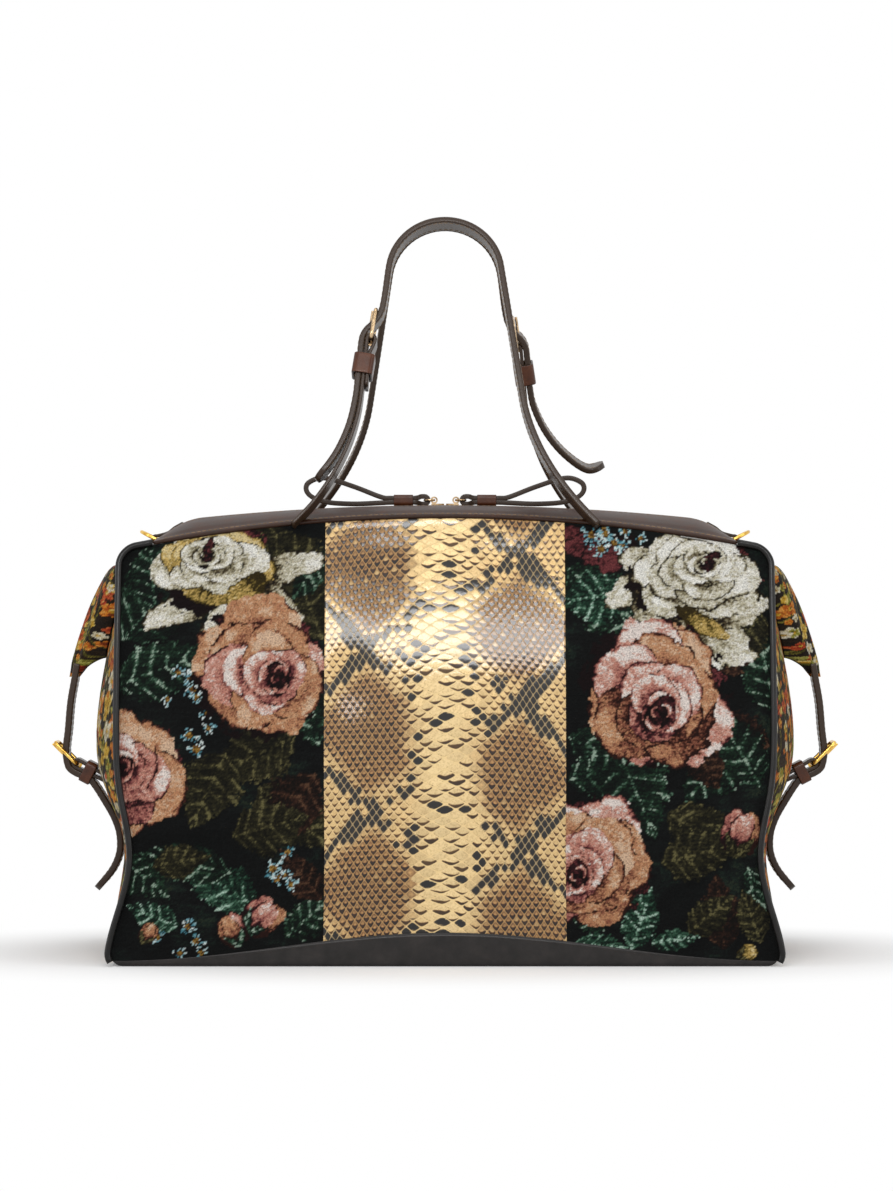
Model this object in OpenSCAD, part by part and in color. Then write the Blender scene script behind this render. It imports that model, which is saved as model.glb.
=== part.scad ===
// Structured top-handle bag: tapestry and snake-print panels, buckled ends, two strap handles.
// Front is -Y, left is -X, the base stands on z = 0.

/* [Body] */
// Width of the front between its piped edges
body_w = 394; // [360:1:430]
// Depth of the base, front to back
base_depth = 180; // [160:1:200]
// Depth of the top, seam to seam
top_depth = 104; // [96:1:116]
// Height of the top seam at the middle of the front
seam_z = 270; // [250:1:290]
// Fall of the top seam from the middle to the corners
seam_drop = 20; // [14:1:26]
// Radius of the upper corners of the front
corner_r = 9; // [7:1:16]
// Outward swell of the front and back
panel_bulge = 8; // [0:1:14]
// Extra swell in the middle of the front and back
panel_belly = 4; // [0:1:8]
// Thickness of the panels
wall = 2.4; // [1.6:0.1:3]
// Width of the middle panel
centre_panel_w = 146; // [120:1:180]
// How far the sides are drawn in below the buckles
waist_pinch = 9; // [0:1:14]
// Height of the drawn-in waist
waist_z = 66; // [50:1:80]
// How far the lower corners spread
base_flare = 5; // [0:1:8]
// Outward swell of the end gussets
gusset_bulge = 21; // [14:1:24]

/* [Base] */
// Radius of the lower corners
base_corner_r = 9; // [5:1:11]
// Height of the base seam at the corners
base_lip = 3.4; // [3.2:0.1:5]
// Rise of the base seam at the middle
base_arch = 17; // [8:1:24]
// Radius of the lower edge of the base
base_edge_r = 2.5; // [1.5:0.1:3]

/* [Piping] */
// Radius of the piped edge
piping_r = 2; // [1.4:0.1:2.6]

/* [Top and zip] */
// Height of the zip above the top seam at the middle
crest_rise = 8; // [5:1:12]
// Radius of the long arch of the zip
zip_arc_r = 1500; // [1200:10:2400]
// Length of the drop at each end of the zip
zip_drop_l = 28; // [24:1:34]
// Radius of the drop at each end of the zip
zip_end_r = 40; // [34:1:60]
// Distance from the end of the zip to the piped edge of the front
zip_inset = 19; // [17:1:27]
// Thickness of the leather top bands
band_t = 2; // [1.4:0.1:2.6]
// Width from the zip's middle to a top band
tape_half = 14.4; // [12:0.1:18]
// Thickness of the zip tape
tape_t = 1; // [0.6:0.1:1.4]
// Pitch of the teeth on one tape
tooth_pitch = 4; // [3:0.1:6]
// Length of a tooth across the zip
tooth_l = 3.3; // [2.5:0.1:4]
// Height of a tooth
tooth_h = 2; // [1.4:0.1:2.6]
// Gap between the two rows of teeth
tooth_gap = 1.4; // [1.2:0.1:2]

/* [Sliders and pulls] */
// Length of a slider
slider_l = 8; // [7:0.1:12]
// Thickness of a slider's plates
slider_t = 1.4; // [1:0.1:2]
// Radius of the ring on a slider
pull_ring_r = 3; // [2.8:0.1:4.5]
// Wire radius of the ring on a slider
pull_wire_r = 0.7; // [0.5:0.1:0.8]
// Length of a leather pull
pull_l = 74; // [60:1:80]
// Width of a leather pull
pull_w = 7; // [5:0.5:9]
// Thickness of the pull's leather
pull_t = 2.2; // [1.6:0.1:2.4]
// Height of the pull's open loop
pull_loop_h = 14; // [11:0.5:16]

/* [Handles] */
// Height of the top of a handle above its pivot line
handle_rise = 172; // [150:1:190]
// Distance between a handle's two roots
handle_span = 151; // [136:1:166]
// How far the feet of a handle spread beyond the line of its legs
handle_splay = 18; // [0:1:22]
// Radius of a handle's arch
handle_arch_r = 35; // [30:1:42]
// Width of the handle straps
strap_w = 16; // [13:0.5:18]
// Thickness of the handle straps
strap_t = 3.6; // [2.8:0.1:4]
// Thickness of the leather that holds a buckle
chape_t = 2.2; // [1.6:0.1:2.6]
// Distance of the buckle from the pivot line, along the leg
handle_buckle_s = 110; // [100:1:118]
// Distance of the keeper from the pivot line, along the leg
handle_keeper_s = 84; // [74:1:88]
// Length of a keeper along its strap
keeper_l = 13; // [9:0.5:15]
// Thickness of a keeper's leather
keeper_t = 1.6; // [1.2:0.1:2]

/* [Buckles and rings] */
// Length of a buckle frame between its wires' middles
buckle_l = 18.6; // [17:0.2:22]
// Wire radius of a buckle frame
buckle_wire_r = 1.2; // [1:0.1:1.4]
// Radius of a buckle frame's corners
buckle_corner_r = 3; // [2:0.5:4]
// Radius of a prong
prong_r = 0.9; // [0.7:0.1:1.1]
// Width of the side straps
side_strap_w = 14; // [12:0.5:16]
// Thickness of the side straps
side_strap_t = 3; // [2.4:0.1:3.4]
// Radius of a D-ring's bow
d_ring_r = 10.5; // [9.5:0.5:12]
// Wire radius of a D-ring
d_wire_r = 1.1; // [0.9:0.1:1.4]
// Width of a ring tab
tab_w = 12; // [9:0.5:14]
// Thickness of a ring tab's leather
tab_t = 1.8; // [1.4:0.1:2.2]

/* [Ears] */
// Height of an ear's root
ear_top_z = 242; // [236:1:246]
// Height of an ear's tip
ear_tip_z = 172; // [166:1:180]
// Half width of an ear at its root
ear_root_half = 44; // [36:1:48]
// Half width of an ear at its tip
ear_tip_half = 9; // [8:0.5:12]
// How far an ear's tip stands off the gusset
ear_lift = 20; // [14:1:24]

/* [Hidden] */

// Finishes
snake_tan = "#b89a66";
tapestry_dark = "#26302a";
floral_brown = "#5a4526";
strap_brown = "#3f2d22";
keeper_brown = "#5a3520";
black_leather = "#24211f";
gold = "#c89b3c";
pale_gold = "#d8b48c";

// Running clearance between pieces that move, and between layers that lie together
clear = 0.35;
ply_gap = 0.2;
half_w = body_w / 2;
band_half = half_w - zip_inset;
zip_half = band_half - zip_drop_l;
waist_span = 36;
flare_span = 30;
round_fn = 48;

// Vectors and paths
function unit(v) = v / norm(v);
function mix(a, b, t) = a + (b - a) * t;
function steps(a, b, n) = [for (i = [0:n]) mix(a, b, i / n)];
function flip(list) = [for (i = [len(list) - 1:-1:0]) list[i]];
function along(path, i) = unit(path[min(i + 1, len(path) - 1)] - path[max(i - 1, 0)]);
function across(d) = [-d.y, d.x];
function shifted(path, off) = [for (i = [0:len(path) - 1]) path[i] + off * across(along(path, i))];
function stroke(path, t) = concat(shifted(path, t / 2), flip(shifted(path, -t / 2)));
function arc(centre, r, from, to, n) = [for (a = steps(from, to, n)) centre + r * [cos(a), sin(a)]];
function curve_at(a, b, c, d, t) =
    0.5 * (2 * b + (c - a) * t + (2 * a - 5 * b + 4 * c - d) * t * t + (3 * b - 3 * c + d - a) * t * t * t);
function curve(pts, n) = let (last = len(pts) - 1)
    concat([for (i = [0:last - 1]) for (k = [0:n - 1])
        curve_at(pts[max(i - 1, 0)], pts[i], pts[i + 1], pts[min(i + 2, last)], k / n)], [pts[last]]);

// A closed shell between two grids of points, rows going up and columns going right as seen from outside
function skin_faces(r, c) = let (m = r * c) concat(
    [for (i = [0:r - 2]) for (j = [0:c - 2]) [i * c + j, (i + 1) * c + j, (i + 1) * c + j + 1]],
    [for (i = [0:r - 2]) for (j = [0:c - 2]) [i * c + j, (i + 1) * c + j + 1, i * c + j + 1]],
    [for (i = [0:r - 2]) for (j = [0:c - 2]) [m + i * c + j, m + (i + 1) * c + j + 1, m + (i + 1) * c + j]],
    [for (i = [0:r - 2]) for (j = [0:c - 2]) [m + i * c + j, m + i * c + j + 1, m + (i + 1) * c + j + 1]],
    [for (j = [0:c - 2]) [j, j + 1, m + j + 1]],
    [for (j = [0:c - 2]) [j, m + j + 1, m + j]],
    [for (j = [0:c - 2]) let (a = (r - 1) * c + j) [a + 1, a, m + a]],
    [for (j = [0:c - 2]) let (a = (r - 1) * c + j) [a + 1, m + a, m + a + 1]],
    [for (i = [0:r - 2]) let (a = i * c) [a + c, a, m + a]],
    [for (i = [0:r - 2]) let (a = i * c) [a + c, m + a, m + a + c]],
    [for (i = [0:r - 2]) let (a = i * c + c - 1) [a, a + c, m + a + c]],
    [for (i = [0:r - 2]) let (a = i * c + c - 1) [a, m + a + c, m + a]]);

module skin(outer, inner) {
    points = concat([for (row = outer) for (p = row) p], [for (row = inner) for (p = row) p]);
    polyhedron(points, skin_faces(len(outer), len(outer[0])), convexity = 6);
}

// A round cord along points that lie mostly in the XZ plane
module tube(path, r, sides) {
    n = len(path);
    rings = [for (i = [0:n - 1])
        let (t = along(path, i), e = unit(cross(t, [0, 1, 0])), f = cross(e, t))
        for (k = [0:sides - 1]) path[i] + r * (cos(360 * k / sides) * e + sin(360 * k / sides) * f)];
    faces = concat(
        [for (i = [0:n - 2]) for (k = [0:sides - 1])
            [i * sides + k, (i + 1) * sides + (k + 1) % sides, i * sides + (k + 1) % sides]],
        [for (i = [0:n - 2]) for (k = [0:sides - 1])
            [i * sides + k, (i + 1) * sides + k, (i + 1) * sides + (k + 1) % sides]],
        [[for (k = [0:sides - 1]) k]],
        [[for (k = [sides - 1:-1:0]) (n - 1) * sides + k]]);
    polyhedron(rings, faces, convexity = 6);
}

module turned() {
    rotate([0, 0, 180])
        children();
}

// A flat strap: an outline in the XZ plane carried along Y
module strap(outline, w) {
    rotate([90, 0, 0])
        linear_extrude(w, center = true)
            polygon(outline);
}

// Form of the soft body. s runs from -1 to 1 across the front.
corner_s = 1 - corner_r / half_w;
centre_s = centre_panel_w / body_w;
band_s = band_half / half_w;
function base_fall(z) = z >= base_corner_r ? 0
    : base_corner_r * (1 - sqrt(max(0, 1 - pow((base_corner_r - z) / base_corner_r, 2))));
function edge_x(z) = half_w - waist_pinch * exp(-pow((z - waist_z) / waist_span, 2))
    + base_flare * exp(-pow(z / flare_span, 2))
    - base_fall(z);
function corner_fall(s) = abs(s) <= corner_s ? 0
    : corner_r * (1 - sqrt(max(0, 1 - pow((abs(s) - corner_s) / (1 - corner_s), 2))));
function upper_z(s) = seam_z - seam_drop * s * s - corner_fall(s);
function lower_z(s) = base_lip + base_arch * (1 + cos(180 * s)) / 2;
function depth_y(s, z) = let (t = z / seam_z)
    mix(base_depth, top_depth, t) / 2 + (panel_bulge + panel_belly * (1 - s * s)) * sin(180 * t);
function side_x(s, z) = s * half_w + s * s * s * (edge_x(z) - half_w);
function front_point(s, t) = let (z = mix(lower_z(s), upper_z(s), t)) [side_x(s, z), -depth_y(s, z), z];
function gusset_swell(z) = gusset_bulge * max(0, sin(min(180, 180 * z / (seam_z - 1.5 * seam_drop))))
    * (1 - 0.35 * exp(-pow((z - waist_z - 9) / 30, 2)));
function gusset_x(v, z) = edge_x(z) + gusset_swell(z) * (1 - v * v);

panel_rows = 12;
corner_cols = [for (k = [0:4]) corner_s + (1 - corner_s) * cos(22.5 * k)];
left_cols = concat([for (s = corner_cols) -s], [for (k = [1:5]) mix(-corner_s, -centre_s, k / 5)]);
centre_cols = steps(-centre_s, centre_s, 6);
right_cols = [for (s = flip(left_cols)) -s];
front_cols = concat(left_cols, [for (k = [1:5]) centre_cols[k]], right_cols);

// Side edge of the front, from the base up, round the corner and in to the end of the zip: [s, z]
edge_sz = concat(
    [for (z = steps(lower_z(1), upper_z(1), 14)) [1, z]],
    [for (k = [1:4]) [corner_cols[k], upper_z(corner_cols[k])]],
    [for (s = [mix(corner_s, band_s, 0.5), band_s]) [s, upper_z(s)]]);
edge_path = [for (e = edge_sz) [side_x(e.x, e.y), depth_y(e.x, e.y), e.y]];
edge_flat = [for (p = edge_path) [p.x, p.z]];
edge_out = [for (i = [0:len(edge_flat) - 1]) -across(along(edge_flat, i))];

// Form of the zip's arch
crest_z = seam_z + crest_rise;
arc_z = crest_z - zip_arc_r;
end_a = asin(zip_half / zip_arc_r);
end_x = zip_half - zip_end_r * sin(end_a);
end_z = arc_z + (zip_arc_r - zip_end_r) * cos(end_a);
function crest(x) = abs(x) <= zip_half ? arc_z + sqrt(zip_arc_r * zip_arc_r - x * x)
    : end_z + sqrt(max(0, zip_end_r * zip_end_r - pow(abs(x) - end_x, 2)));
function crest_path(reach) = concat(
    [for (x = steps(-reach, -zip_half, 8)) [x, crest(x)]],
    [for (k = [1:19]) let (x = mix(-zip_half, zip_half, k / 20)) [x, crest(x)]],
    [for (x = steps(zip_half, reach, 8)) [x, crest(x)]]);

module at_arc(x) {
    translate([0, 0, arc_z])
        rotate([0, asin(x / zip_arc_r), 0])
            translate([0, 0, zip_arc_r])
                children();
}

module front_piece(cols) {
    rows = steps(0, 1, panel_rows);
    skin([for (t = rows) [for (s = cols) front_point(s, t)]],
        [for (t = rows) [for (s = cols) front_point(s, t) + [0, wall, 0]]]);
}

module front_centre_panel() {
    color(snake_tan)
        front_piece(centre_cols);
}

module front_left_panel() {
    color(tapestry_dark)
        front_piece(left_cols);
}

module front_right_panel() {
    color(tapestry_dark)
        front_piece(right_cols);
}

module back_centre_panel() {
    turned()
        front_centre_panel();
}

module back_left_panel() {
    turned()
        front_right_panel();
}

module back_right_panel() {
    turned()
        front_left_panel();
}

function gusset_point(i, v) = let (p = edge_path[i])
    [-(p.x + gusset_swell(p.z) * (1 - v * v)), v * (p.y - wall - ply_gap), p.z];

module left_gusset() {
    widths = steps(1, -1, 10);
    last = len(edge_path) - 1;
    color(floral_brown)
        skin([for (i = [0:last]) [for (v = widths) gusset_point(i, v)]],
            [for (i = [0:last]) [for (v = widths)
                gusset_point(i, v) + wall * [edge_out[i].x, 0, -edge_out[i].y]]]);
}

module right_gusset() {
    turned()
        left_gusset();
}

// An ear: q is 0 at its root and 1 at its tip, v runs across it
function ear_half(q) = mix(ear_root_half, ear_tip_half, pow(q, 1.15));
function ear_seat(q, v) = let (z = mix(ear_top_z, ear_tip_z, q), y = v * ear_half(q), d = depth_y(1, z))
    [-(gusset_x(y / d, min(z, upper_z(1))) + 3 * ply_gap), y, z];
function ear_puff(q, v) = ear_lift * pow(q, 0.2) * pow(1 - v * v, 0.6);
function ear_rise(q) = 0.72 * pow(max(0, 2 * q - 1), 1.5);
function ear_point(q, v) = ear_seat(q, v) - [0.8 + ear_puff(q, v), 0, 0];
function ear_under(q, v) = ear_seat(q, v) - [ear_rise(q) * ear_puff(q, v), 0, 0];

module left_ear() {
    lengths = [for (k = [10:-1:0]) pow(k / 10, 1.4)];
    widths = [for (a = steps(0, 180, 10)) cos(a)];
    color(floral_brown)
        skin([for (q = lengths) [for (v = widths) ear_point(q, v)]],
            [for (q = lengths) [for (v = widths) ear_under(q, v)]]);
}

module right_ear() {
    turned()
        left_ear();
}

// Cross-section of the base from the back seam under to the front seam: [y, z], outside then inside
function base_outer(s) = let (zl = lower_z(s), yl = depth_y(s, zl), y0 = depth_y(s, 0), r = base_edge_r)
    [[yl, zl], [y0, r], [y0 - 0.3 * r, 0.3 * r], [y0 - r, 0]];
function base_inner(s) = let (zl = lower_z(s), yl = depth_y(s, zl), y0 = depth_y(s, 0))
    [[yl - wall, zl], [y0 - wall, wall + 0.3], [y0 - wall - 0.2, wall + 0.1], [y0 - wall - 0.6, wall]];
function whole_section(half) = concat(half, [for (p = flip(half)) [-p.x, p.y]]);
function base_point(s, p) = [side_x(s, p.y), p.x, p.y];

module base_panel() {
    outer = [for (s = front_cols) whole_section(base_outer(s))];
    inner = [for (s = front_cols) whole_section(base_inner(s))];
    last = len(front_cols) - 1;
    color(black_leather)
        skin([for (k = [0:7]) [for (j = [0:last]) base_point(front_cols[j], outer[j][k])]],
            [for (k = [0:7]) [for (j = [0:last]) base_point(front_cols[j], inner[j][k])]]);
}

// Piped edges: side is -1 on the left and 1 on the right
module front_piping(side) {
    off = piping_r * 0.71 + ply_gap;
    color(black_leather)
        tube([for (i = [0:len(edge_path) - 1]) let (p = edge_path[i], e = edge_out[i])
            [side * (p.x + off * e.x), -p.y - off, p.z + off * e.y]], piping_r, 8);
}

module front_left_piping() {
    front_piping(-1);
}

module front_right_piping() {
    front_piping(1);
}

module back_left_piping() {
    turned()
        front_right_piping();
}

module back_right_piping() {
    turned()
        front_left_piping();
}

// A top band: w is 0 at the seam and 1 at the zip
band_swell = 1.5;
function band_point(s, w) = let (z = upper_z(s), x = side_x(s, z))
    [x, -mix(depth_y(s, z), tape_half + ply_gap, w),
        mix(z + ply_gap, crest(x) - band_t / 2, w) + band_swell * sin(180 * w)];

module front_top_band() {
    widths = steps(0, 1, 4);
    lengths = concat(steps(-band_s, -zip_half / half_w, 4),
        [for (k = [1:15]) mix(-1, 1, k / 16) * zip_half / half_w], steps(zip_half / half_w, band_s, 4));
    color(strap_brown)
        skin([for (w = widths) [for (s = lengths) band_point(s, w) + [0, 0, band_t]]],
            [for (w = widths) [for (s = lengths) band_point(s, w)]]);
}

module back_top_band() {
    turned()
        front_top_band();
}

// Zip
tooth_outer = tooth_gap / 2 + tooth_l;
module front_zip_tape() {
    tape_w = tape_half - tooth_outer;
    path = [for (p = crest_path(band_half - 2)) p - [0, tape_t / 2]];
    color("#2b211b")
        translate([0, -tooth_outer - tape_w / 2, 0])
            strap(stroke(path, tape_t), tape_w);
}

module back_zip_tape() {
    turned()
        front_zip_tape();
}

module front_zip_teeth() {
    teeth = floor(2 * (zip_half - tooth_pitch) / tooth_pitch);
    color(pale_gold)
        for (i = [0:teeth - 1])
            at_arc((i - teeth / 2 + 0.25) * tooth_pitch)
                translate([-tooth_pitch / 4, -tooth_outer, -tape_t / 2 - tooth_h / 2])
                    cube([tooth_pitch / 2, tooth_l, tooth_h]);
}

module back_zip_teeth() {
    turned()
        front_zip_teeth();
}

// Slider heights are measured from the tape's upper face, along the arch's radius
slider_x = slider_l / 2 + 0.6;
slider_low = (tooth_h - tape_t) / 2 + clear;
eye_r = pull_wire_r + 0.55;
eye_wall = 1;
eye_w = 2.2;
eye_x = -2.2;
eye_z = slider_low + slider_t + eye_r + eye_wall;

module slider_plate() {
    plate_w = 2 * tooth_outer + 1.2;
    linear_extrude(slider_t)
        difference() {
            square([slider_l, plate_w], center = true);
            for (side = [-1, 1])
                translate([slider_l / 2, side * plate_w / 2])
                    rotate(45)
                        square(2, center = true);
        }
}

module left_slider() {
    web_t = tooth_gap - 2 * clear;
    foot_z = -tape_t / 2 - tooth_h / 2 - clear - slider_t;
    color(pale_gold)
        at_arc(-slider_x) {
            translate([0, 0, slider_low])
                slider_plate();
            translate([0, 0, foot_z])
                slider_plate();
            translate([-slider_l / 4, -web_t / 2, foot_z + slider_t / 2])
                cube([slider_l / 2, web_t, slider_low - foot_z]);
            translate([eye_x, 0, eye_z])
                rotate([90, 0, 0])
                    difference() {
                        union() {
                            cylinder(r = eye_r + eye_wall, h = eye_w, center = true, $fn = round_fn);
                            translate([0, -eye_r - eye_wall, 0])
                                cube([2 * eye_r, 2 * eye_wall, eye_w], center = true);
                        }
                        cylinder(r = eye_r, h = eye_w + 1, center = true, $fn = round_fn);
                    }
        }
}

module right_slider() {
    turned()
        left_slider();
}

module at_pull() {
    at_arc(-slider_x)
        translate([eye_x, 0, eye_z])
            children();
}

module left_pull_ring() {
    color(pale_gold)
        at_pull()
            translate([-pull_ring_r, 0, 0])
                rotate_extrude($fn = round_fn)
                    translate([pull_ring_r, 0])
                        circle(pull_wire_r, $fn = 24);
}

module right_pull_ring() {
    turned()
        left_pull_ring();
}

// A pull is one strip folded round the ring, its two plies pressed together and then opened in a loop
fold_r = pull_wire_r + 0.55 + pull_t / 2;
ply_half = pull_t / 2 + ply_gap;
pull_neck_w = 3;
pull_start = -2 * pull_ring_r;
pull_band_x = pull_start - 13.2;
pull_band_l = 12;
function pull_x(t) = pull_start - t * pull_l;
pull_path = concat(
    arc([pull_start, 0], fold_r, -90, 90, 8),
    curve([[pull_x(0.03), fold_r], [pull_x(0.085), ply_half], [pull_x(0.28), ply_half],
        [pull_x(0.37), ply_half + 0.8], [pull_x(0.6), pull_loop_h * 0.62],
        [pull_x(0.84), pull_loop_h], [pull_x(0.97), pull_loop_h * 0.83], [pull_x(1), pull_loop_h * 0.5],
        [pull_x(0.95), pull_loop_h * 0.16], [pull_x(0.82), -pull_t / 2], [pull_x(0.6), -pull_t],
        [pull_x(0.37), -ply_half - 0.3], [pull_x(0.28), -ply_half], [pull_x(0.085), -ply_half],
        [pull_x(0.03), -fold_r]], 5));
function ring_along(path, i) = let (n = len(path)) unit(path[(i + 1) % n] - path[(i + n - 1) % n]);
function ring_shifted(path, off) =
    [for (i = [0:len(path) - 1]) path[i] + off * across(ring_along(path, i))];

module left_pull() {
    cut = pull_w / 2 - pull_neck_w / 2;
    color(strap_brown)
        at_pull()
            difference() {
                rotate([90, 0, 0])
                    linear_extrude(pull_w, center = true)
                        difference() {
                            polygon(ring_shifted(pull_path, -pull_t / 2));
                            polygon(ring_shifted(pull_path, pull_t / 2));
                        }
                for (side = [-1, 1])
                    translate([pull_start + fold_r, side * (pull_neck_w / 2 + cut), 0])
                        cube([2 * (pull_wire_r + 0.6 + fold_r), 2 * cut, 4 * fold_r], center = true);
            }
}

module right_pull() {
    turned()
        left_pull();
}

module left_pull_band() {
    inner_h = 2 * (ply_half + pull_t / 2 + ply_gap);
    band_wall = 0.8;
    inner_w = pull_w + 2 * ply_gap;
    color(keeper_brown)
        at_pull()
            translate([pull_band_x, 0, 0])
                difference() {
                    cube([pull_band_l, inner_w + 2 * band_wall, inner_h + 2 * band_wall], center = true);
                    cube([pull_band_l + 1, inner_w, inner_h], center = true);
                }
}

module right_pull_band() {
    turned()
        left_pull_band();
}

// D-rings and their tabs. The bar of the ring lies on the hinge line.
ring_bar = [-band_half - 2.2, crest(band_half) + tab_t + d_wire_r + clear];
ring_rest_a = 27;
tab_r = d_wire_r + clear + tab_t / 2;

module left_ring_tab() {
    lie_a = [for (back = [12, 6]) 90 + asin((band_half - back - end_x) / zip_end_r)];
    lie = arc([-end_x, end_z], zip_end_r + tab_t / 2 + 2 * ply_gap, lie_a[0], lie_a[1], 2);
    path = concat(curve(concat(lie, [ring_bar + tab_r * [cos(75), sin(75)]]), 4),
        arc(ring_bar, tab_r, 90, 260, 12));
    color(strap_brown)
        strap(stroke(path, tab_t), tab_w);
}

module right_ring_tab() {
    turned()
        left_ring_tab();
}

module left_d_ring() {
    color(gold)
        translate([ring_bar.x, 0, ring_bar.y])
            rotate([0, ring_rest_a, 0]) {
                rotate([90, 0, 0])
                    cylinder(r = d_wire_r, h = 2 * d_ring_r, center = true, $fn = 32);
                rotate([0, 0, 90])
                    rotate_extrude(angle = 180, $fn = round_fn)
                        translate([d_ring_r, 0])
                            circle(d_wire_r, $fn = 24);
                for (side = [-1, 1])
                    translate([0, side * d_ring_r, 0])
                        sphere(d_wire_r, $fn = 32);
            }
}

module right_d_ring() {
    turned()
        left_d_ring();
}

// A buckle frame in the YZ plane, its sizes taken between wire middles
module buckle_frame(l, w) {
    c = buckle_corner_r;
    for (side = [-1, 1]) {
        translate([0, side * w / 2, 0])
            cylinder(r = buckle_wire_r, h = l - 2 * c, center = true, $fn = 32);
        translate([0, 0, side * l / 2])
            rotate([90, 0, 0])
                cylinder(r = buckle_wire_r, h = w - 2 * c, center = true, $fn = 32);
    }
    corners = [[1, 1], [-1, 1], [-1, -1], [1, -1]];
    for (k = [0:3])
        translate([0, corners[k].x * (w / 2 - c), corners[k].y * (l / 2 - c)])
            rotate([90, 0, 90])
                rotate([0, 0, 90 * k])
                    rotate_extrude(angle = 90, $fn = round_fn)
                        translate([c, 0])
                            circle(buckle_wire_r, $fn = 24);
}

// A prong from the lower bar to the outer side of the upper bar, which lies towards -X
module buckle_prong(l) {
    eye = buckle_wire_r + ply_gap;
    start = [-eye - prong_r, 0];
    reach = [-eye - prong_r, l + buckle_wire_r];
    run = reach - start;
    rotate([90, 0, 0])
        difference() {
            cylinder(r = eye + 1.6 * prong_r, h = 2 * prong_r, center = true, $fn = 32);
            cylinder(r = eye, h = 3 * prong_r, center = true, $fn = 32);
        }
    translate([start.x, 0, start.y])
        rotate([0, atan2(run.x, run.y), 0])
            cylinder(r = 0.95 * prong_r, h = norm(run), $fn = 24);
}

// Side straps, in the XZ plane at the left end
buckle_tilt = 45;
side_bar_z = 118;
side_bar_off = 13.5;
side_frame_w = side_strap_w + 2 * buckle_wire_r + 2;
bar_axis = [-sin(buckle_tilt), cos(buckle_tilt)];
side_bar = [-(gusset_x(0, side_bar_z) + side_bar_off), side_bar_z];
side_mid = side_bar + bar_axis * buckle_l / 2;
chape_r = buckle_wire_r + ply_gap + chape_t / 2;
chape_seat = [-(gusset_x(0, side_bar.y - 8) + ply_gap), side_bar.y - 8];
chape_dir = unit(chape_seat - side_bar);
hug = side_strap_t / 2 + 4 * ply_gap;
function hug_point(z, off) = [-(gusset_x(0, z) + hug + off), z];
side_tip = [-(gusset_x(0, ear_tip_z) + ear_lift * 0.88), ear_tip_z - 3 * ply_gap];
side_keeper_l = 7;
keeper_mid = chape_seat - chape_dir * 8.5;
side_under = across(chape_dir) * -(chape_r + chape_t / 2 + side_strap_t / 2 + ply_gap);
side_route = curve([side_tip, side_tip + [-2.6, -15], side_mid + [1, 15], side_mid + [-0.4, 1.5],
    side_bar + 1.08 * norm(side_under) * [cos(192), sin(192)], side_bar + side_under,
    keeper_mid + side_under - 0.6 * side_keeper_l * chape_dir,
    keeper_mid + side_under + 0.6 * side_keeper_l * chape_dir,
    hug_point(waist_z + 26, 1.8), hug_point(waist_z + 17, 1), hug_point(waist_z + 8, 0.9),
    hug_point(waist_z - 3, 1.7), hug_point(waist_z - 14, 5), hug_point(waist_z - 26, 13)], 6);

// Everything inside the gusset's middle line
module gusset_side() {
    strap(concat([for (z = steps(side_bar_z - 30, side_bar_z + 30, 10)) [-(gusset_x(0, z) + ply_gap), z]],
        [[0, side_bar_z + 30], [0, side_bar_z - 30]]), base_depth);
}

module at_side_bar() {
    translate([side_bar.x, 0, side_bar.y])
        rotate([0, -buckle_tilt, 0])
            children();
}

module left_side_strap() {
    slot_w = 2 * prong_r + 1;
    color(strap_brown)
        difference() {
            strap(stroke(side_route, side_strap_t), side_strap_w);
            translate([side_mid.x, 0, side_mid.y])
                rotate([0, -buckle_tilt, 0])
                    cube([16, slot_w, buckle_l - 4], center = true);
        }
}

module left_side_buckle() {
    color(gold)
        at_side_bar()
            translate([0, 0, buckle_l / 2])
                buckle_frame(buckle_l, side_frame_w);
}

module left_side_prong() {
    color(gold)
        at_side_bar()
            buckle_prong(buckle_l);
}

module left_side_keeper() {
    inner_h = 2 * chape_r + chape_t + side_strap_t + 3 * ply_gap;
    inner_w = side_strap_w + 2 * ply_gap;
    color(keeper_brown)
        translate([keeper_mid.x, 0, keeper_mid.y])
            rotate([0, atan2(-chape_dir.y, chape_dir.x), 0])
                translate([0, 0, -(side_strap_t + ply_gap) / 2])
                    difference() {
                        cube([side_keeper_l, inner_w + 2 * keeper_t, inner_h + 2 * keeper_t], center = true);
                        cube([keeper_l, inner_w, inner_h], center = true);
                    }
}

module left_side_chape() {
    turn = atan2(chape_dir.y, chape_dir.x);
    ply_off = chape_t / 2 + ply_gap;
    plies = [for (side = [-1, 1]) chape_seat + 6 * chape_dir + side * ply_off * across(chape_dir)];
    path = concat([plies[1]], arc(side_bar, chape_r, turn + 90, turn + 270, 12), [plies[0]]);
    slot_w = 2 * prong_r + 1;
    color(strap_brown)
        difference() {
            strap(stroke(path, chape_t), side_strap_w - 1);
            translate([side_bar.x, 0, side_bar.y])
                cube([9, slot_w, 9], center = true);
            gusset_side();
        }
}

module right_side_strap() {
    turned()
        left_side_strap();
}

module right_side_buckle() {
    turned()
        left_side_buckle();
}

module right_side_prong() {
    turned()
        left_side_prong();
}

module right_side_keeper() {
    turned()
        left_side_keeper();
}

module right_side_chape() {
    turned()
        left_side_chape();
}

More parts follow.
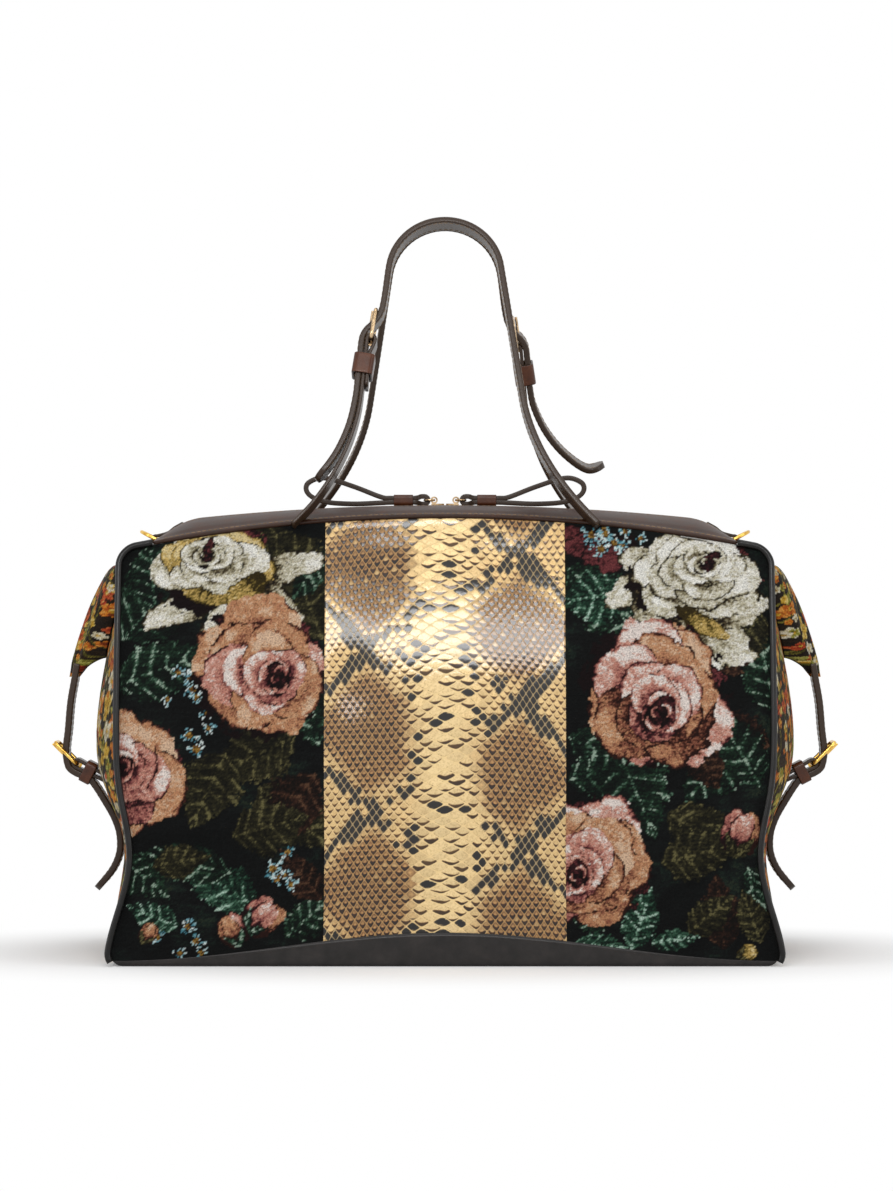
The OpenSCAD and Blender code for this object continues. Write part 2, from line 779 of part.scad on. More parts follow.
// Handles: u across, v up the leaning plane from the pivot line, s along the buckled leg, n out of it
foot_u = handle_span / 2;
root_h = 5;
pivot_y = top_depth / 2 + 1;
pivot_z = upper_z(foot_u / half_w) + band_t + root_h + clear + strap_w / 2;
apex_y = strap_w / 2 + 1.8;
lean = atan((pivot_y - apex_y) / handle_rise);
apex_v = handle_rise / cos(lean);
arch_v = apex_v - handle_arch_r;
knee_u = foot_u - handle_splay;
knee_far = norm([knee_u, arch_v]);
touch_a = atan2(-arch_v, knee_u) + acos(handle_arch_r / knee_far);
touch = [0, arch_v] + handle_arch_r * [cos(touch_a), sin(touch_a)];
leg_dir = unit([knee_u - touch.x, touch.y]);
leg_l = norm([knee_u - touch.x, touch.y]);
leg_tilt = atan2(leg_dir.x, leg_dir.y);
function leg(s, n) = [-knee_u, 0] + s * leg_dir + n * across(leg_dir);
splay_s = handle_keeper_s - keeper_l - 5;
function splay(s) = handle_splay * pow(max(0, 1 - s / splay_s), 2);
function splay_slope(s) = 2 * handle_splay / splay_s * max(0, 1 - s / splay_s);
function far_leg(s) = let (p = leg(s, splay(s))) [-p.x, p.y];
frame_n = strap_t / 2 + buckle_wire_r + 2 * ply_gap;
heel_s = handle_buckle_s - buckle_l / 2;
chape_n = frame_n + chape_r;
function chape_off(s) = chape_n * max(s, -9) / heel_s + splay(s);
tail_gap = chape_t / 2 + ply_gap + strap_t / 2 + 0.1;
function tail_off(s) = chape_off(s) + tail_gap * sqrt(1 + pow(splay_slope(s), 2));
root_reach = strap_w / 2 + 6;
root_u = -leg(-root_reach - 2, chape_off(-root_reach - 2)).x;
foot_steps = steps(-root_reach, splay_s, 10);

// curl is 0 for a tail that lies along its leg and 1 for one that turns outwards
function handle_path(curl) = concat(
    [for (s = foot_steps) far_leg(s)],
    arc([0, arch_v], handle_arch_r, touch_a, 180 - touch_a, 28),
    curve([leg(leg_l - 4, 0), leg(handle_buckle_s + 11.2, -0.15),
        leg(heel_s + 10.2, frame_n + 0.5), leg(heel_s + 5.2, frame_n + 4),
        leg(heel_s - 1.5, tail_off(heel_s)), leg(handle_keeper_s, tail_off(handle_keeper_s)),
        leg(74, tail_off(74) + 0.2 * curl), leg(62, tail_off(62) + mix(0.1, 1.6, curl)),
        leg(45, tail_off(45) + mix(0.4, 6, curl)),
        leg(29, tail_off(29) + mix(1.2, 12.5, curl)), leg(17, tail_off(17) + mix(2.6, 21.5, curl)),
        leg(mix(8, 18, curl), mix(tail_off(8) + 4.5, 47, curl))], 6));

module front_lean() {
    translate([0, -pivot_y, pivot_z])
        rotate([-lean, 0, 0])
            children();
}

module at_leg(s, n) {
    p = leg(s, n);
    translate([p.x, 0, p.y])
        rotate([0, leg_tilt, 0])
            children();
}

// Everything above the pivot line, with round ends about it
module pivot_end(w) {
    intersection() {
        children();
        union() {
            translate([-body_w / 2, -w, 0])
                cube([body_w, 2 * w, 2 * handle_rise]);
            rotate([0, 90, 0])
                cylinder(r = w / 2, h = body_w, center = true, $fn = round_fn);
        }
    }
}

module handle_strap(curl) {
    slot_w = 2 * prong_r + 1;
    color(strap_brown)
        difference() {
            pivot_end(strap_w)
                strap(stroke(handle_path(curl), strap_t), strap_w);
            at_leg(handle_buckle_s, frame_n)
                cube([12, slot_w, buckle_l - 4], center = true);
        }
}

module front_handle_strap() {
    front_lean()
        handle_strap(0);
}

module back_handle_strap() {
    turned()
        front_lean()
            handle_strap(1);
}

module front_handle_buckle() {
    color(pale_gold)
        front_lean()
            at_leg(handle_buckle_s, frame_n)
                buckle_frame(buckle_l, strap_w + 2 * buckle_wire_r + 2);
}

module back_handle_buckle() {
    turned()
        front_handle_buckle();
}

module front_handle_prong() {
    color(pale_gold)
        front_lean()
            at_leg(heel_s, frame_n)
                buckle_prong(buckle_l);
}

module back_handle_prong() {
    turned()
        front_handle_prong();
}

module front_handle_keeper() {
    low_n = chape_off(handle_keeper_s) - 1.5 * chape_t - 4 * ply_gap;
    high_n = tail_off(handle_keeper_s) + strap_t / 2 + 3 * ply_gap;
    inner_w = strap_w + 2 * ply_gap;
    color(keeper_brown)
        front_lean()
            at_leg(handle_keeper_s, (low_n + high_n) / 2)
                difference() {
                    cube([high_n - low_n + 2 * keeper_t, inner_w + 2 * keeper_t, keeper_l], center = true);
                    cube([high_n - low_n, inner_w, keeper_l + 1], center = true);
                }
}

module back_handle_keeper() {
    turned()
        front_handle_keeper();
}

module front_handle_chape() {
    ply_end = handle_keeper_s - keeper_l;
    inner_n = frame_n - chape_r;
    ply_from = handle_keeper_s + keeper_l / 2 + 1;
    path = concat([for (s = [ply_end, ply_from]) leg(s, chape_off(s) - chape_t - ply_gap)],
        [leg(heel_s - 2, inner_n)],
        [for (a = steps(180, 0, 12)) leg(heel_s + chape_r * sin(a), frame_n + chape_r * cos(a))],
        [for (s = flip(foot_steps)) leg(s, chape_off(s))]);
    slot_w = 2 * prong_r + 1;
    color(strap_brown)
        front_lean()
            difference() {
                pivot_end(strap_w)
                    strap(stroke(path, chape_t), strap_w);
                at_leg(heel_s, frame_n)
                    cube([9, slot_w, 9], center = true);
            }
}

module back_handle_chape() {
    turned()
        front_handle_chape();
}

// Middle line of a sewn root, -1 on the buckled side and 1 on the far one
function root_path(side) = [for (s = steps(-root_reach - 6, -4, 4))
    let (p = leg(s, side < 0 ? chape_off(s) : splay(s))) [-side * p.x, p.y]];

// The sewn ends that a handle bends on, cut to the top band below them and clear of the swinging strap
module front_handle_roots() {
    root_r = strap_w / 2 + clear;
    rim = [for (w = steps(0, 0.5, 4)) let (p = band_point(root_u / half_w, w)) [p.y, p.z + band_t + ply_gap]];
    color(strap_brown)
        difference() {
            front_lean()
                difference() {
                    for (side = [-1, 1])
                        strap(stroke(root_path(side), side < 0 ? chape_t : strap_t), strap_w);
                    rotate([0, 90, 0])
                        cylinder(r = root_r, h = body_w, center = true, $fn = round_fn);
                }
            rotate([90, 0, 90])
                linear_extrude(body_w, center = true)
                    polygon(concat([[-base_depth, rim[0].y]], rim, [[rim[4].x, 0], [-base_depth, 0]]));
            translate([-half_w, -pivot_y - strap_w, pivot_z - root_r])
                cube([body_w, strap_w, strap_w]);
        }
}

module back_handle_roots() {
    turned()
        front_handle_roots();
}

front_centre_panel();
front_left_panel();
front_right_panel();
back_centre_panel();
back_left_panel();
back_right_panel();
left_gusset();
right_gusset();
left_ear();
right_ear();
base_panel();
front_left_piping();
front_right_piping();
back_left_piping();
back_right_piping();
front_top_band();
back_top_band();
front_zip_tape();
back_zip_tape();
front_zip_teeth();
back_zip_teeth();
left_slider();
right_slider();
left_pull_ring();
right_pull_ring();
left_pull();
right_pull();
left_pull_band();
right_pull_band();
left_ring_tab();
right_ring_tab();
left_d_ring();
right_d_ring();
left_side_strap();
right_side_strap();
left_side_buckle();
right_side_buckle();
left_side_prong();
right_side_prong();
left_side_keeper();
right_side_keeper();
left_side_chape();
right_side_chape();
front_handle_strap();
back_handle_strap();
front_handle_buckle();
back_handle_buckle();
front_handle_prong();
back_handle_prong();
front_handle_keeper();
back_handle_keeper();
front_handle_chape();
back_handle_chape();
front_handle_roots();
back_handle_roots();
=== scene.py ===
import math

import bmesh
import bpy
import numpy as np
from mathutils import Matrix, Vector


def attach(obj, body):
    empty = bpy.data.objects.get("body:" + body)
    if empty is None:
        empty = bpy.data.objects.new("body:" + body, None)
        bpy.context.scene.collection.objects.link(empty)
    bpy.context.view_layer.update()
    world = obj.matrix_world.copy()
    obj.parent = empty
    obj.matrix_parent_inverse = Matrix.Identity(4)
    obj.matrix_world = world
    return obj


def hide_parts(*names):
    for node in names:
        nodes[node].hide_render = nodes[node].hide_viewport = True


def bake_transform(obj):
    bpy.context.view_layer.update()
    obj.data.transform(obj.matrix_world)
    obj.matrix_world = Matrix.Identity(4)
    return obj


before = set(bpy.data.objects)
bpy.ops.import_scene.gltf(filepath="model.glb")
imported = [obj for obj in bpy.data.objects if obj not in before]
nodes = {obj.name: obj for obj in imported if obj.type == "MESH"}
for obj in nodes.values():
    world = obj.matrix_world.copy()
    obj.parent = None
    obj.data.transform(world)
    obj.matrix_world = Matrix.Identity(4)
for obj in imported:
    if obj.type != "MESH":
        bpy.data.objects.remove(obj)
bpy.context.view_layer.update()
mm = 0.001
print("frame loaded:", len(nodes), "CAD nodes")

# form of the soft body in millimetres, the same values as the solids
bag = {
    "halfW": 197.0, "baseDepth": 180.0, "topDepth": 104.0, "seamZ": 270.0, "seamDrop": 20.0,
    "cornerR": 9.0, "bulge": 8.0, "belly": 4.0, "wall": 2.4, "centreW": 146.0,
    "pinch": 9.0, "waistZ": 66.0, "waistSpan": 36.0, "flare": 5.0, "flareSpan": 30.0,
    "swell": 21.0, "lip": 3.4, "arch": 17.0, "baseEdge": 2.5, "plyGap": 0.2, "baseR": 9.0,
}
zipForm = {
    "crestZ": 278.0, "arcR": 1500.0, "half": 150.0, "endR": 40.0, "bandHalf": 178.0, "tapeHalf": 14.4,
    "bandT": 2.0, "bandSwell": 1.5,
}
cornerS = 1 - bag["cornerR"] / bag["halfW"]
centreS = bag["centreW"] / 2 / bag["halfW"]


def baseFall(z):  # a quarter circle at the lower corners
    near = np.clip(1 - z / bag["baseR"], 0, 1)
    return bag["baseR"] * (1 - np.sqrt(1 - near * near))


def edgeX(z):  # half width of the front: drawn in round the waist, spread at the base
    waist = bag["pinch"] * np.exp(-((z - bag["waistZ"]) / bag["waistSpan"]) ** 2)
    return bag["halfW"] - waist + bag["flare"] * np.exp(-((z / bag["flareSpan"]) ** 2)) - baseFall(z)


def upperZ(s):  # top seam: a parabola that ends in a quarter circle at each corner
    far = np.clip((np.abs(s) - cornerS) / (1 - cornerS), 0, 1)
    return bag["seamZ"] - bag["seamDrop"] * s * s - bag["cornerR"] * (1 - np.sqrt(1 - far * far))


def lowerZ(s):  # base seam: one cosine arch
    return bag["lip"] + bag["arch"] * (1 + np.cos(np.pi * s)) / 2


def depthY(s, z):  # half depth: a straight taper with a sine swell, fullest in the middle
    t = z / bag["seamZ"]
    taper = bag["baseDepth"] + (bag["topDepth"] - bag["baseDepth"]) * t
    return taper / 2 + (bag["bulge"] + bag["belly"] * (1 - s * s)) * np.sin(np.pi * t)


def sideX(s, z):  # the waist moves the outer edge most, by the cube of s
    return s * bag["halfW"] + s ** 3 * (edgeX(z) - bag["halfW"])


def gussetSwell(z):  # sine swell of the ends, less where the strap draws them in
    reach = bag["seamZ"] - 1.5 * bag["seamDrop"]
    pull = 1 - 0.35 * np.exp(-(((z - bag["waistZ"] - 9) / 30) ** 2))
    return bag["swell"] * np.maximum(0, np.sin(np.pi * np.minimum(1, z / reach))) * pull


def gussetX(v, z):  # the ends: the front's edge and a parabola of the swell across v
    return edgeX(z) + gussetSwell(z) * (1 - v * v)


def ease(a, b, x):  # eased step from 0 at a to 1 at b
    t = np.clip((x - a) / (b - a), 0, 1)
    return t * t * (3 - 2 * t)


def scatter(i, j, seed):  # one fixed random number from 0 to 1 for each pair of whole numbers
    h = np.sin(i * 127.1 + j * 311.7 + seed * 74.7) * 43758.5453
    return h - np.floor(h)


def cloud(x, z, size, seed):  # value noise: lattice numbers eased into each other
    u, v = x / size, z / size
    i, j = np.floor(u), np.floor(v)
    f, g = ease(0, 1, u - i), ease(0, 1, v - j)
    low = scatter(i, j, seed) * (1 - f) + scatter(i + 1, j, seed) * f
    high = scatter(i, j + 1, seed) * (1 - f) + scatter(i + 1, j + 1, seed) * f
    return low * (1 - g) + high * g


def tintsOf(*codes):  # screen colours to linear rows
    rgb = np.array([[int(c[k:k + 2], 16) for k in (0, 2, 4)] for c in codes]) / 255
    return np.where(rgb <= 0.04045, rgb / 12.92, ((rgb + 0.055) / 1.055) ** 2.4)


def turned(points):  # half a turn about the upright axis
    return points * np.array([-1.0, -1.0, 1.0])


def gridQuads(rows, cols, wrapRows=False, wrapCols=False):  # four corners of each cell of a grid
    a, b = np.meshgrid(np.arange(rows - (not wrapRows)), np.arange(cols - (not wrapCols)), indexing="ij")
    up, right = (a + 1) % rows, (b + 1) % cols
    return np.stack([a * cols + b, a * cols + right, up * cols + right, up * cols + b], -1).reshape(-1, 4)


def tubeFaces(rows, count):  # a tube of rings with a cap at each end
    caps = [list(range(count))[::-1], list(range((rows - 1) * count, rows * count))]
    return gridQuads(rows, count, False, True).tolist() + caps


def makePiece(name, made, look, body="bag", stands=(), tints=None, fields=None, closed=False,
              inside=(0, 0, 130)):
    # points in millimetres, faces and perhaps edge paint become one object at the origin, faces outwards
    points, faces, *paint = made
    points = np.asarray(points, float).reshape(-1, 3)
    fields = dict(fields or {})
    if paint:
        fields["edgePaint"] = paint[0]
    if not closed:
        quads = np.asarray(faces)
        p = points[quads]
        normal = np.cross(p[:, 2] - p[:, 0], p[:, 3] - p[:, 1])
        if (normal * (p.mean(1) - np.array(inside))).sum() < 0:
            faces = quads[:, ::-1]
    mesh = bpy.data.meshes.new(name)
    mesh.from_pydata((points * mm).tolist(), [], faces if isinstance(faces, list) else faces.tolist())
    for label, values in (tints or {}).items():
        colours = np.ones((len(points), 4), np.float32)
        colours[:, :3] = values.reshape(-1, 3)
        mesh.color_attributes.new(label, "FLOAT_COLOR", "POINT").data.foreach_set("color", colours.ravel())
    for label, values in fields.items():
        single = values.size == len(points)
        layer = mesh.attributes.new(label, "FLOAT" if single else "FLOAT_VECTOR", "POINT")
        layer.data.foreach_set("value" if single else "vector", values.astype(np.float32).ravel())
    work = bmesh.new()
    work.from_mesh(mesh)
    bmesh.ops.remove_doubles(work, verts=work.verts, dist=2e-6)
    if closed:
        bmesh.ops.recalc_face_normals(work, faces=work.faces)
    work.to_mesh(mesh)
    work.free()
    mesh.shade_smooth()
    mesh.materials.append(finishes[look])
    piece = bpy.data.objects.new(name, mesh)
    bpy.context.scene.collection.objects.link(piece)
    if body:
        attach(piece, body)
    if stands:
        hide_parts(*stands)
    return piece


# names of a piece and of its twin, half a turn round the bag
ends = ("left", "right")
fronts = ("front", "back")
corners = {-1: ("front_left", "back_right"), 1: ("front_right", "back_left")}


def twins(names, label, made, look, stands="", bodyLabel="", **rest):
    # a piece, and the same turned half round for the other end or face of the bag
    points, *others = made
    pieces = []
    for name, place in zip(names, (points, turned(points))):
        body = name + bodyLabel if bodyLabel else "bag"
        stood = [name + stands] if stands else ()
        pieces.append(makePiece(name + label, (place, *others), look, body, stood, **rest))
    return pieces


def sheetGrid(points, inward):  # a grid of points with its rim turned inwards, and its faces
    wide = withRim(points, inward)
    return wide, gridQuads(*wide.shape[:2])


def withRim(points, inward):  # a grid with one more row and column all round, turned inwards
    wide = np.pad(points, ((1, 1), (1, 1), (0, 0)), mode="edge")
    edge = np.ones(wide.shape[:2], bool)
    edge[1:-1, 1:-1] = False
    wide[edge] += np.broadcast_to(inward, wide.shape)[edge]
    return wide


def padded(values):  # values of a grid carried out to its rim
    return np.pad(values, ((1, 1), (1, 1)) + ((0, 0),) * (values.ndim - 2), mode="edge")


def catmull(points, n):  # a cubic through each point, set by its four nearest
    p = np.asarray(points, float)
    q = np.vstack([p[:1], p, p[-1:]])
    t = (np.arange(n) / n)[None, :, None]
    a, b, c, d = (q[k:len(p) - 1 + k, None, :] for k in range(4))
    square, cube = 2 * a - 5 * b + 4 * c - d, 3 * b - 3 * c + d - a
    line = 0.5 * (2 * b + (c - a) * t + square * t ** 2 + cube * t ** 3)
    return np.vstack([line.reshape(-1, p.shape[1]), p[-1:]])


def runOf(path):  # distance along a path at each of its points
    return np.concatenate([[0], np.cumsum(np.linalg.norm(np.diff(path, axis=0), axis=1))])


def evenly(path, step):  # the same line with points the same distance apart
    path = np.asarray(path, float)
    run = runOf(path)
    at = np.linspace(0, run[-1], max(8, int(run[-1] / step)))
    return np.stack([np.interp(at, run, path[:, k]) for k in range(path.shape[1])], 1)


def unitRows(v):  # rows divided by their lengths
    return v / np.linalg.norm(v, axis=-1, keepdims=True)


def directions(path, closed):  # unit steps along a path, from each point's neighbours
    run = np.roll(path, -1, 0) - np.roll(path, 1, 0) if closed else np.gradient(path, axis=0)
    return unitRows(run)


def inPlane(flat):  # pairs in the plane across the bag as points
    flat = np.asarray(flat)
    return np.stack([flat[:, 0], 0 * flat[:, 0], flat[:, 1]], 1)


def tipWidths(path, width, reach):  # a strap's width at each point, rounded off along its tail
    left = np.linalg.norm(np.diff(path, axis=0), axis=1)[::-1].cumsum()[::-1]
    tip = np.clip(np.concatenate([left, [0]]) / reach, 0, 1)
    return width * np.maximum(0.3, np.sqrt(1 - (1 - tip) ** 2.4))


def sweep(path, side, width, thick, corner=0.8, closed=False, widths=None):
    # a rounded rectangle carried along a path: its width lies along side, its thickness across the path
    turns = np.radians([0, 22.5, 45, 67.5, 90])
    across, through, paint = [], [], []
    for k, (signA, signB) in enumerate([(1, 1), (-1, 1), (-1, -1), (1, -1)]):
        angle = turns + k * np.pi / 2
        across += list(signA * (width / 2 - corner) + corner * np.cos(angle))
        through += list(signB * (thick / 2 - corner) + corner * np.sin(angle))
        paint += list((np.abs(np.cos(angle)) > 0.6).astype(float))
        if k % 2 == 0:
            spread = np.array([0.82, 0.4, 0, -0.4, -0.82]) * signA * (width / 2 - corner)
            across += list(spread)
            through += [signB * thick / 2] * 5
            paint += [0.0] * 5
    path = np.asarray(path, float)
    side = np.broadcast_to(np.asarray(side, float), path.shape)
    face = unitRows(np.cross(side, directions(path, closed)))
    scale = np.ones(len(path)) if widths is None else widths / width
    rings = path[:, None] + (np.array(across)[None] * scale[:, None])[..., None] * side[:, None]
    rings = rings + np.array(through)[None, :, None] * face[:, None]
    count = len(across)
    faces = gridQuads(len(path), count, True, True).tolist() if closed else tubeFaces(len(path), count)
    return rings.reshape(-1, 3), faces, np.tile(paint, len(path))


def roundTube(path, radius, sides):  # a circle carried along a path
    run = directions(path, False)
    e = unitRows(np.cross(run, (0.0, 1.0, 0.0)))
    f = np.cross(e, run)
    angle = 2 * np.pi * np.arange(sides) / sides
    ring = np.cos(angle)[None, :, None] * e[:, None] + np.sin(angle)[None, :, None] * f[:, None]
    return (path[:, None] + radius * ring).reshape(-1, 3), tubeFaces(len(path), sides)


def stitches(path, side, across, through, pitch, length, radius):
    # short spindles laid end to end along a path, across and through away from it
    path = np.asarray(path, float)
    run = runOf(path)
    at = np.arange(pitch, run[-1] - pitch / 2, pitch)
    ahead = directions(path, False)
    side = np.broadcast_to(np.asarray(side, float), path.shape)
    face = unitRows(np.cross(side, ahead))
    pick = lambda rows: np.stack([np.interp(at, run, rows[:, k]) for k in range(3)], 1)
    a, s, f = unitRows(pick(ahead)), unitRows(pick(side)), unitRows(pick(face))
    centre = pick(path) + across * s + through * f
    along = np.array([-0.5, -0.38, 0, 0.38, 0.5]) * length
    round5 = np.array([0.25, 0.85, 1, 0.85, 0.25]) * radius
    angle = 2 * np.pi * np.arange(6) / 6
    ring = along[None, :, None, None] * a[:, None, None]
    ring = ring + (round5[:, None] * np.cos(angle))[None, ..., None] * s[:, None, None]
    ring = ring + (round5[:, None] * np.sin(angle))[None, ..., None] * f[:, None, None]
    points = (centre[:, None, None] + ring).reshape(-1, 3)
    one = gridQuads(5, 6, False, True).tolist() + [[5, 4, 3, 2, 1, 0], [24, 25, 26, 27, 28, 29]]
    return points, [[v + 30 * k for v in face] for k in range(len(at)) for face in one]


def joined(parts):  # several point and face lists as one
    points, faces, start = [], [], 0
    for p, f in parts:
        points.append(p)
        faces += [[v + start for v in face] for face in f]
        start += len(p)
    return np.vstack(points), faces


stitchForm = {  # pitch, length and radius of a stitch
    "base": (3.6, 2.7, 0.32), "band": (3.4, 2.5, 0.3), "handle": (3.6, 2.7, 0.3), "end": (3.4, 2.5, 0.28),
}


def fourSeams(path, side, across, through, form):  # a seam along both edges of both faces of a strap
    return joined([stitches(path, side, a * across, b * through, *form) for a in (-1, 1) for b in (-1, 1)])


# materials, each a small node tree on a Principled shader
def startFinish(name, rough, metal=0.0, coat=0.0, sheen=0.0, shine=0.5):
    finish = bpy.data.materials.new(name)
    finish.use_nodes = True
    tree = finish.node_tree
    shader = tree.nodes["Principled BSDF"]
    shader.inputs["Roughness"].default_value = rough
    shader.inputs["Metallic"].default_value = metal
    shader.inputs["Specular IOR Level"].default_value = shine
    shader.inputs["Coat Weight"].default_value = coat
    shader.inputs["Coat Roughness"].default_value = 0.09
    shader.inputs["Sheen Weight"].default_value = sheen
    return finish, tree, shader


def put(tree, kind, inputs=(), **settings):  # adds a node; a socket given as an input is linked
    added = tree.nodes.new("ShaderNode" + kind)
    for key, value in settings.items():
        setattr(added, key, value)
    for key, value in dict(inputs).items():
        socket = added.inputs[key]
        if isinstance(value, bpy.types.NodeSocket):
            tree.links.new(value, socket)
        else:
            socket.default_value = value
    return added


def rgba(code):  # a screen colour as a linear socket value
    return (*tintsOf(code)[0], 1.0)


def ramp(tree, factor, stops):  # stops are (place, colour)
    made = put(tree, "ValToRGB", {"Fac": factor})
    while len(made.color_ramp.elements) < len(stops):
        made.color_ramp.elements.new(0.5)
    for element, (place, code) in zip(made.color_ramp.elements, stops):
        element.position = place
        element.color = rgba(code)
    return made.outputs["Color"]


def bumped(tree, shader, height, strength, distance):  # a height tilts the shader's normal
    bump = put(tree, "Bump", {"Height": height, "Strength": strength, "Distance": distance})
    tree.links.new(bump.outputs["Normal"], shader.inputs["Normal"])


def mixed(tree, kind, factor, a, b):  # two colours blended by a factor
    made = put(tree, "Mix", data_type="RGBA", blend_type=kind)
    for key, value in zip((0, 6, 7), (factor, a, b)):
        if isinstance(value, bpy.types.NodeSocket):
            tree.links.new(value, made.inputs[key])
        else:
            made.inputs[key].default_value = value
    return made.outputs[2]


def math2(tree, operation, a, b=0.0):
    return put(tree, "Math", {0: a, 1: b}, operation=operation).outputs[0]


def smoothRange(tree, value, start, end):  # eased step from 0 at start to 1 at end
    limits = {"Value": value, 1: start, 2: end}
    return put(tree, "MapRange", limits, interpolation_type="SMOOTHSTEP").outputs[0]


def noise(tree, place, scale, detail, rough=0.5):
    made = put(tree, "TexNoise", {"Vector": place, "Scale": scale, "Detail": detail, "Roughness": rough})
    return made.outputs["Fac"]


def attribute(tree, name, output="Color"):
    return put(tree, "Attribute", attribute_name=name).outputs[output]


def leather(name, dark, mid, light, rough, edge=None, coat=0.06, grain=2200.0, relief=0.1, shine=0.28):
    # mottled dyed leather with a fine pebble grain, and a painted colour on the cut edges
    finish, tree, shader = startFinish(name, rough, coat=coat, shine=shine)
    place = put(tree, "TexCoord").outputs["Object"]
    mottle = noise(tree, place, 90.0, 6.0, 0.65)
    colour = ramp(tree, mottle, [(0.28, dark), (0.52, mid), (0.78, light)])
    if edge:
        paint = attribute(tree, "edgePaint", "Fac")
        colour = mixed(tree, "MIX", paint, colour, rgba(edge))
    tree.links.new(colour, shader.inputs["Base Color"])
    pebbles = put(tree, "TexVoronoi", {"Vector": place, "Scale": grain}).outputs["Distance"]
    creases = noise(tree, place, grain * 0.4, 3.0)
    bumped(tree, shader, math2(tree, "ADD", pebbles, creases), relief, 0.0004)
    gloss = put(tree, "MapRange", {"Value": mottle, 3: rough * 0.8, 4: rough * 1.25}).outputs[0]
    tree.links.new(gloss, shader.inputs["Roughness"])
    return finish


def wovenCloth(name, rows, rough, sheen, fleck):
    # yarn colours come with the piece; rows of stitches and loose fibres stand up from it
    finish, tree, shader = startFinish(name, rough, sheen=sheen, shine=0.12)
    place = put(tree, "TexCoord").outputs["Object"]
    yarn = attribute(tree, "yarn")
    fibre = noise(tree, place, 1300.0, 3.0, 0.7)
    shade = ramp(tree, fibre, [(0.3, fleck[0]), (0.5, fleck[1]), (0.72, fleck[2])])
    tree.links.new(mixed(tree, "MULTIPLY", 0.85, yarn, shade), shader.inputs["Base Color"])
    stretch = put(tree, "Mapping", {"Vector": place, "Scale": (0.45, 0.45, 1.0)}).outputs[0]
    knots = put(tree, "TexVoronoi", {"Vector": stretch, "Scale": rows}).outputs["Distance"]
    bumped(tree, shader, math2(tree, "SUBTRACT", fibre, knots), 0.55, 0.0007)
    return finish


def metalFinish(name, colour, dull, rough):  # plated metal with faint brushing and dull patches
    finish, tree, shader = startFinish(name, rough, metal=1.0)
    place = put(tree, "TexCoord").outputs["Object"]
    patch = noise(tree, place, 260.0, 4.0)
    tree.links.new(ramp(tree, patch, [(0.3, dull), (0.6, colour)]), shader.inputs["Base Color"])
    gloss = put(tree, "MapRange", {"Value": patch, 3: rough * 0.7, 4: rough * 1.5}).outputs[0]
    tree.links.new(gloss, shader.inputs["Roughness"])
    fine = noise(tree, place, 3000.0, 2.0)
    bumped(tree, shader, fine, 0.04, 0.0002)
    return finish


def snakeFinish():
    # colours come with the piece; a line runs where a lattice number nears a whole one
    finish, tree, shader = startFinish("snake_print_leather", 0.5, coat=0.55, shine=0.15)
    lattice = put(tree, "SeparateXYZ", {0: attribute(tree, "lattice", "Vector")}).outputs
    rim = put(tree, "SeparateXYZ", {0: attribute(tree, "paintedRimShadow", "Vector")}).outputs
    parts = [math2(tree, "FRACT", lattice[axis]) for axis in ("X", "Y")]
    near = [math2(tree, "ABSOLUTE", math2(tree, "SUBTRACT", part, 0.5)) for part in parts]
    fourth = math2(tree, "ADD", *[math2(tree, "POWER", part, 4.0) for part in near])
    most = math2(tree, "POWER", fourth, 0.25)
    start = math2(tree, "SUBTRACT", 0.5, lattice["Z"])
    groove = smoothRange(tree, most, start, 0.5)
    # the lower rim of a scale, where a painted shadow lies: how far a point is from the scale's upper corner
    across = math2(tree, "ABSOLUTE", math2(tree, "SUBTRACT", parts[0], 1.0))
    squares = [math2(tree, "POWER", part, 2.0) for part in (across, parts[1])]
    low = math2(tree, "SQRT", math2(tree, "ADD", *squares))
    under = smoothRange(tree, low, rim["Y"], math2(tree, "ADD", rim["Y"], 0.2))
    under = math2(tree, "MULTIPLY", under, rim["X"])
    place = put(tree, "TexCoord").outputs["Object"]
    shade = ramp(tree, noise(tree, place, 700.0, 4.0, 0.7), [(0.3, "b9a890"), (0.55, "ffffff")])
    body = mixed(tree, "MULTIPLY", 0.6, attribute(tree, "scaleTint"), shade)
    # painted shadow: each scale darkens towards brown and near black at its lower rim
    paintedShadow = ramp(tree, under, [(0.0, "ffffff"), (0.5, "8a745c"), (1.0, "2a1c11")])
    body = mixed(tree, "MULTIPLY", 1.0, body, paintedShadow)
    tree.links.new(mixed(tree, "MIX", groove, body, attribute(tree, "lineTint")), shader.inputs["Base Color"])
    fine = noise(tree, place, 1800.0, 2.0)
    bumped(tree, shader, math2(tree, "SUBTRACT", math2(tree, "MULTIPLY", fine, 0.15), groove), 0.4, 0.0004)
    glaze = put(tree, "MapRange", {"Value": groove, 3: 0.58, 4: 0.2}).outputs[0]
    tree.links.new(glaze, shader.inputs["Coat Weight"])
    return finish


def zipFinish():  # ribbed woven tape
    finish, tree, shader = startFinish("zip_tape_cloth", 0.85)
    place = put(tree, "TexCoord").outputs["Object"]
    wave = {"Vector": place, "Scale": 420.0, "Distortion": 1.5, "Detail": 2.0}
    ribs = put(tree, "TexWave", wave, bands_direction="X").outputs["Fac"]
    tree.links.new(ramp(tree, ribs, [(0.2, "1c1410"), (0.8, "35271e")]), shader.inputs["Base Color"])
    bumped(tree, shader, ribs, 0.4, 0.0004)
    return finish


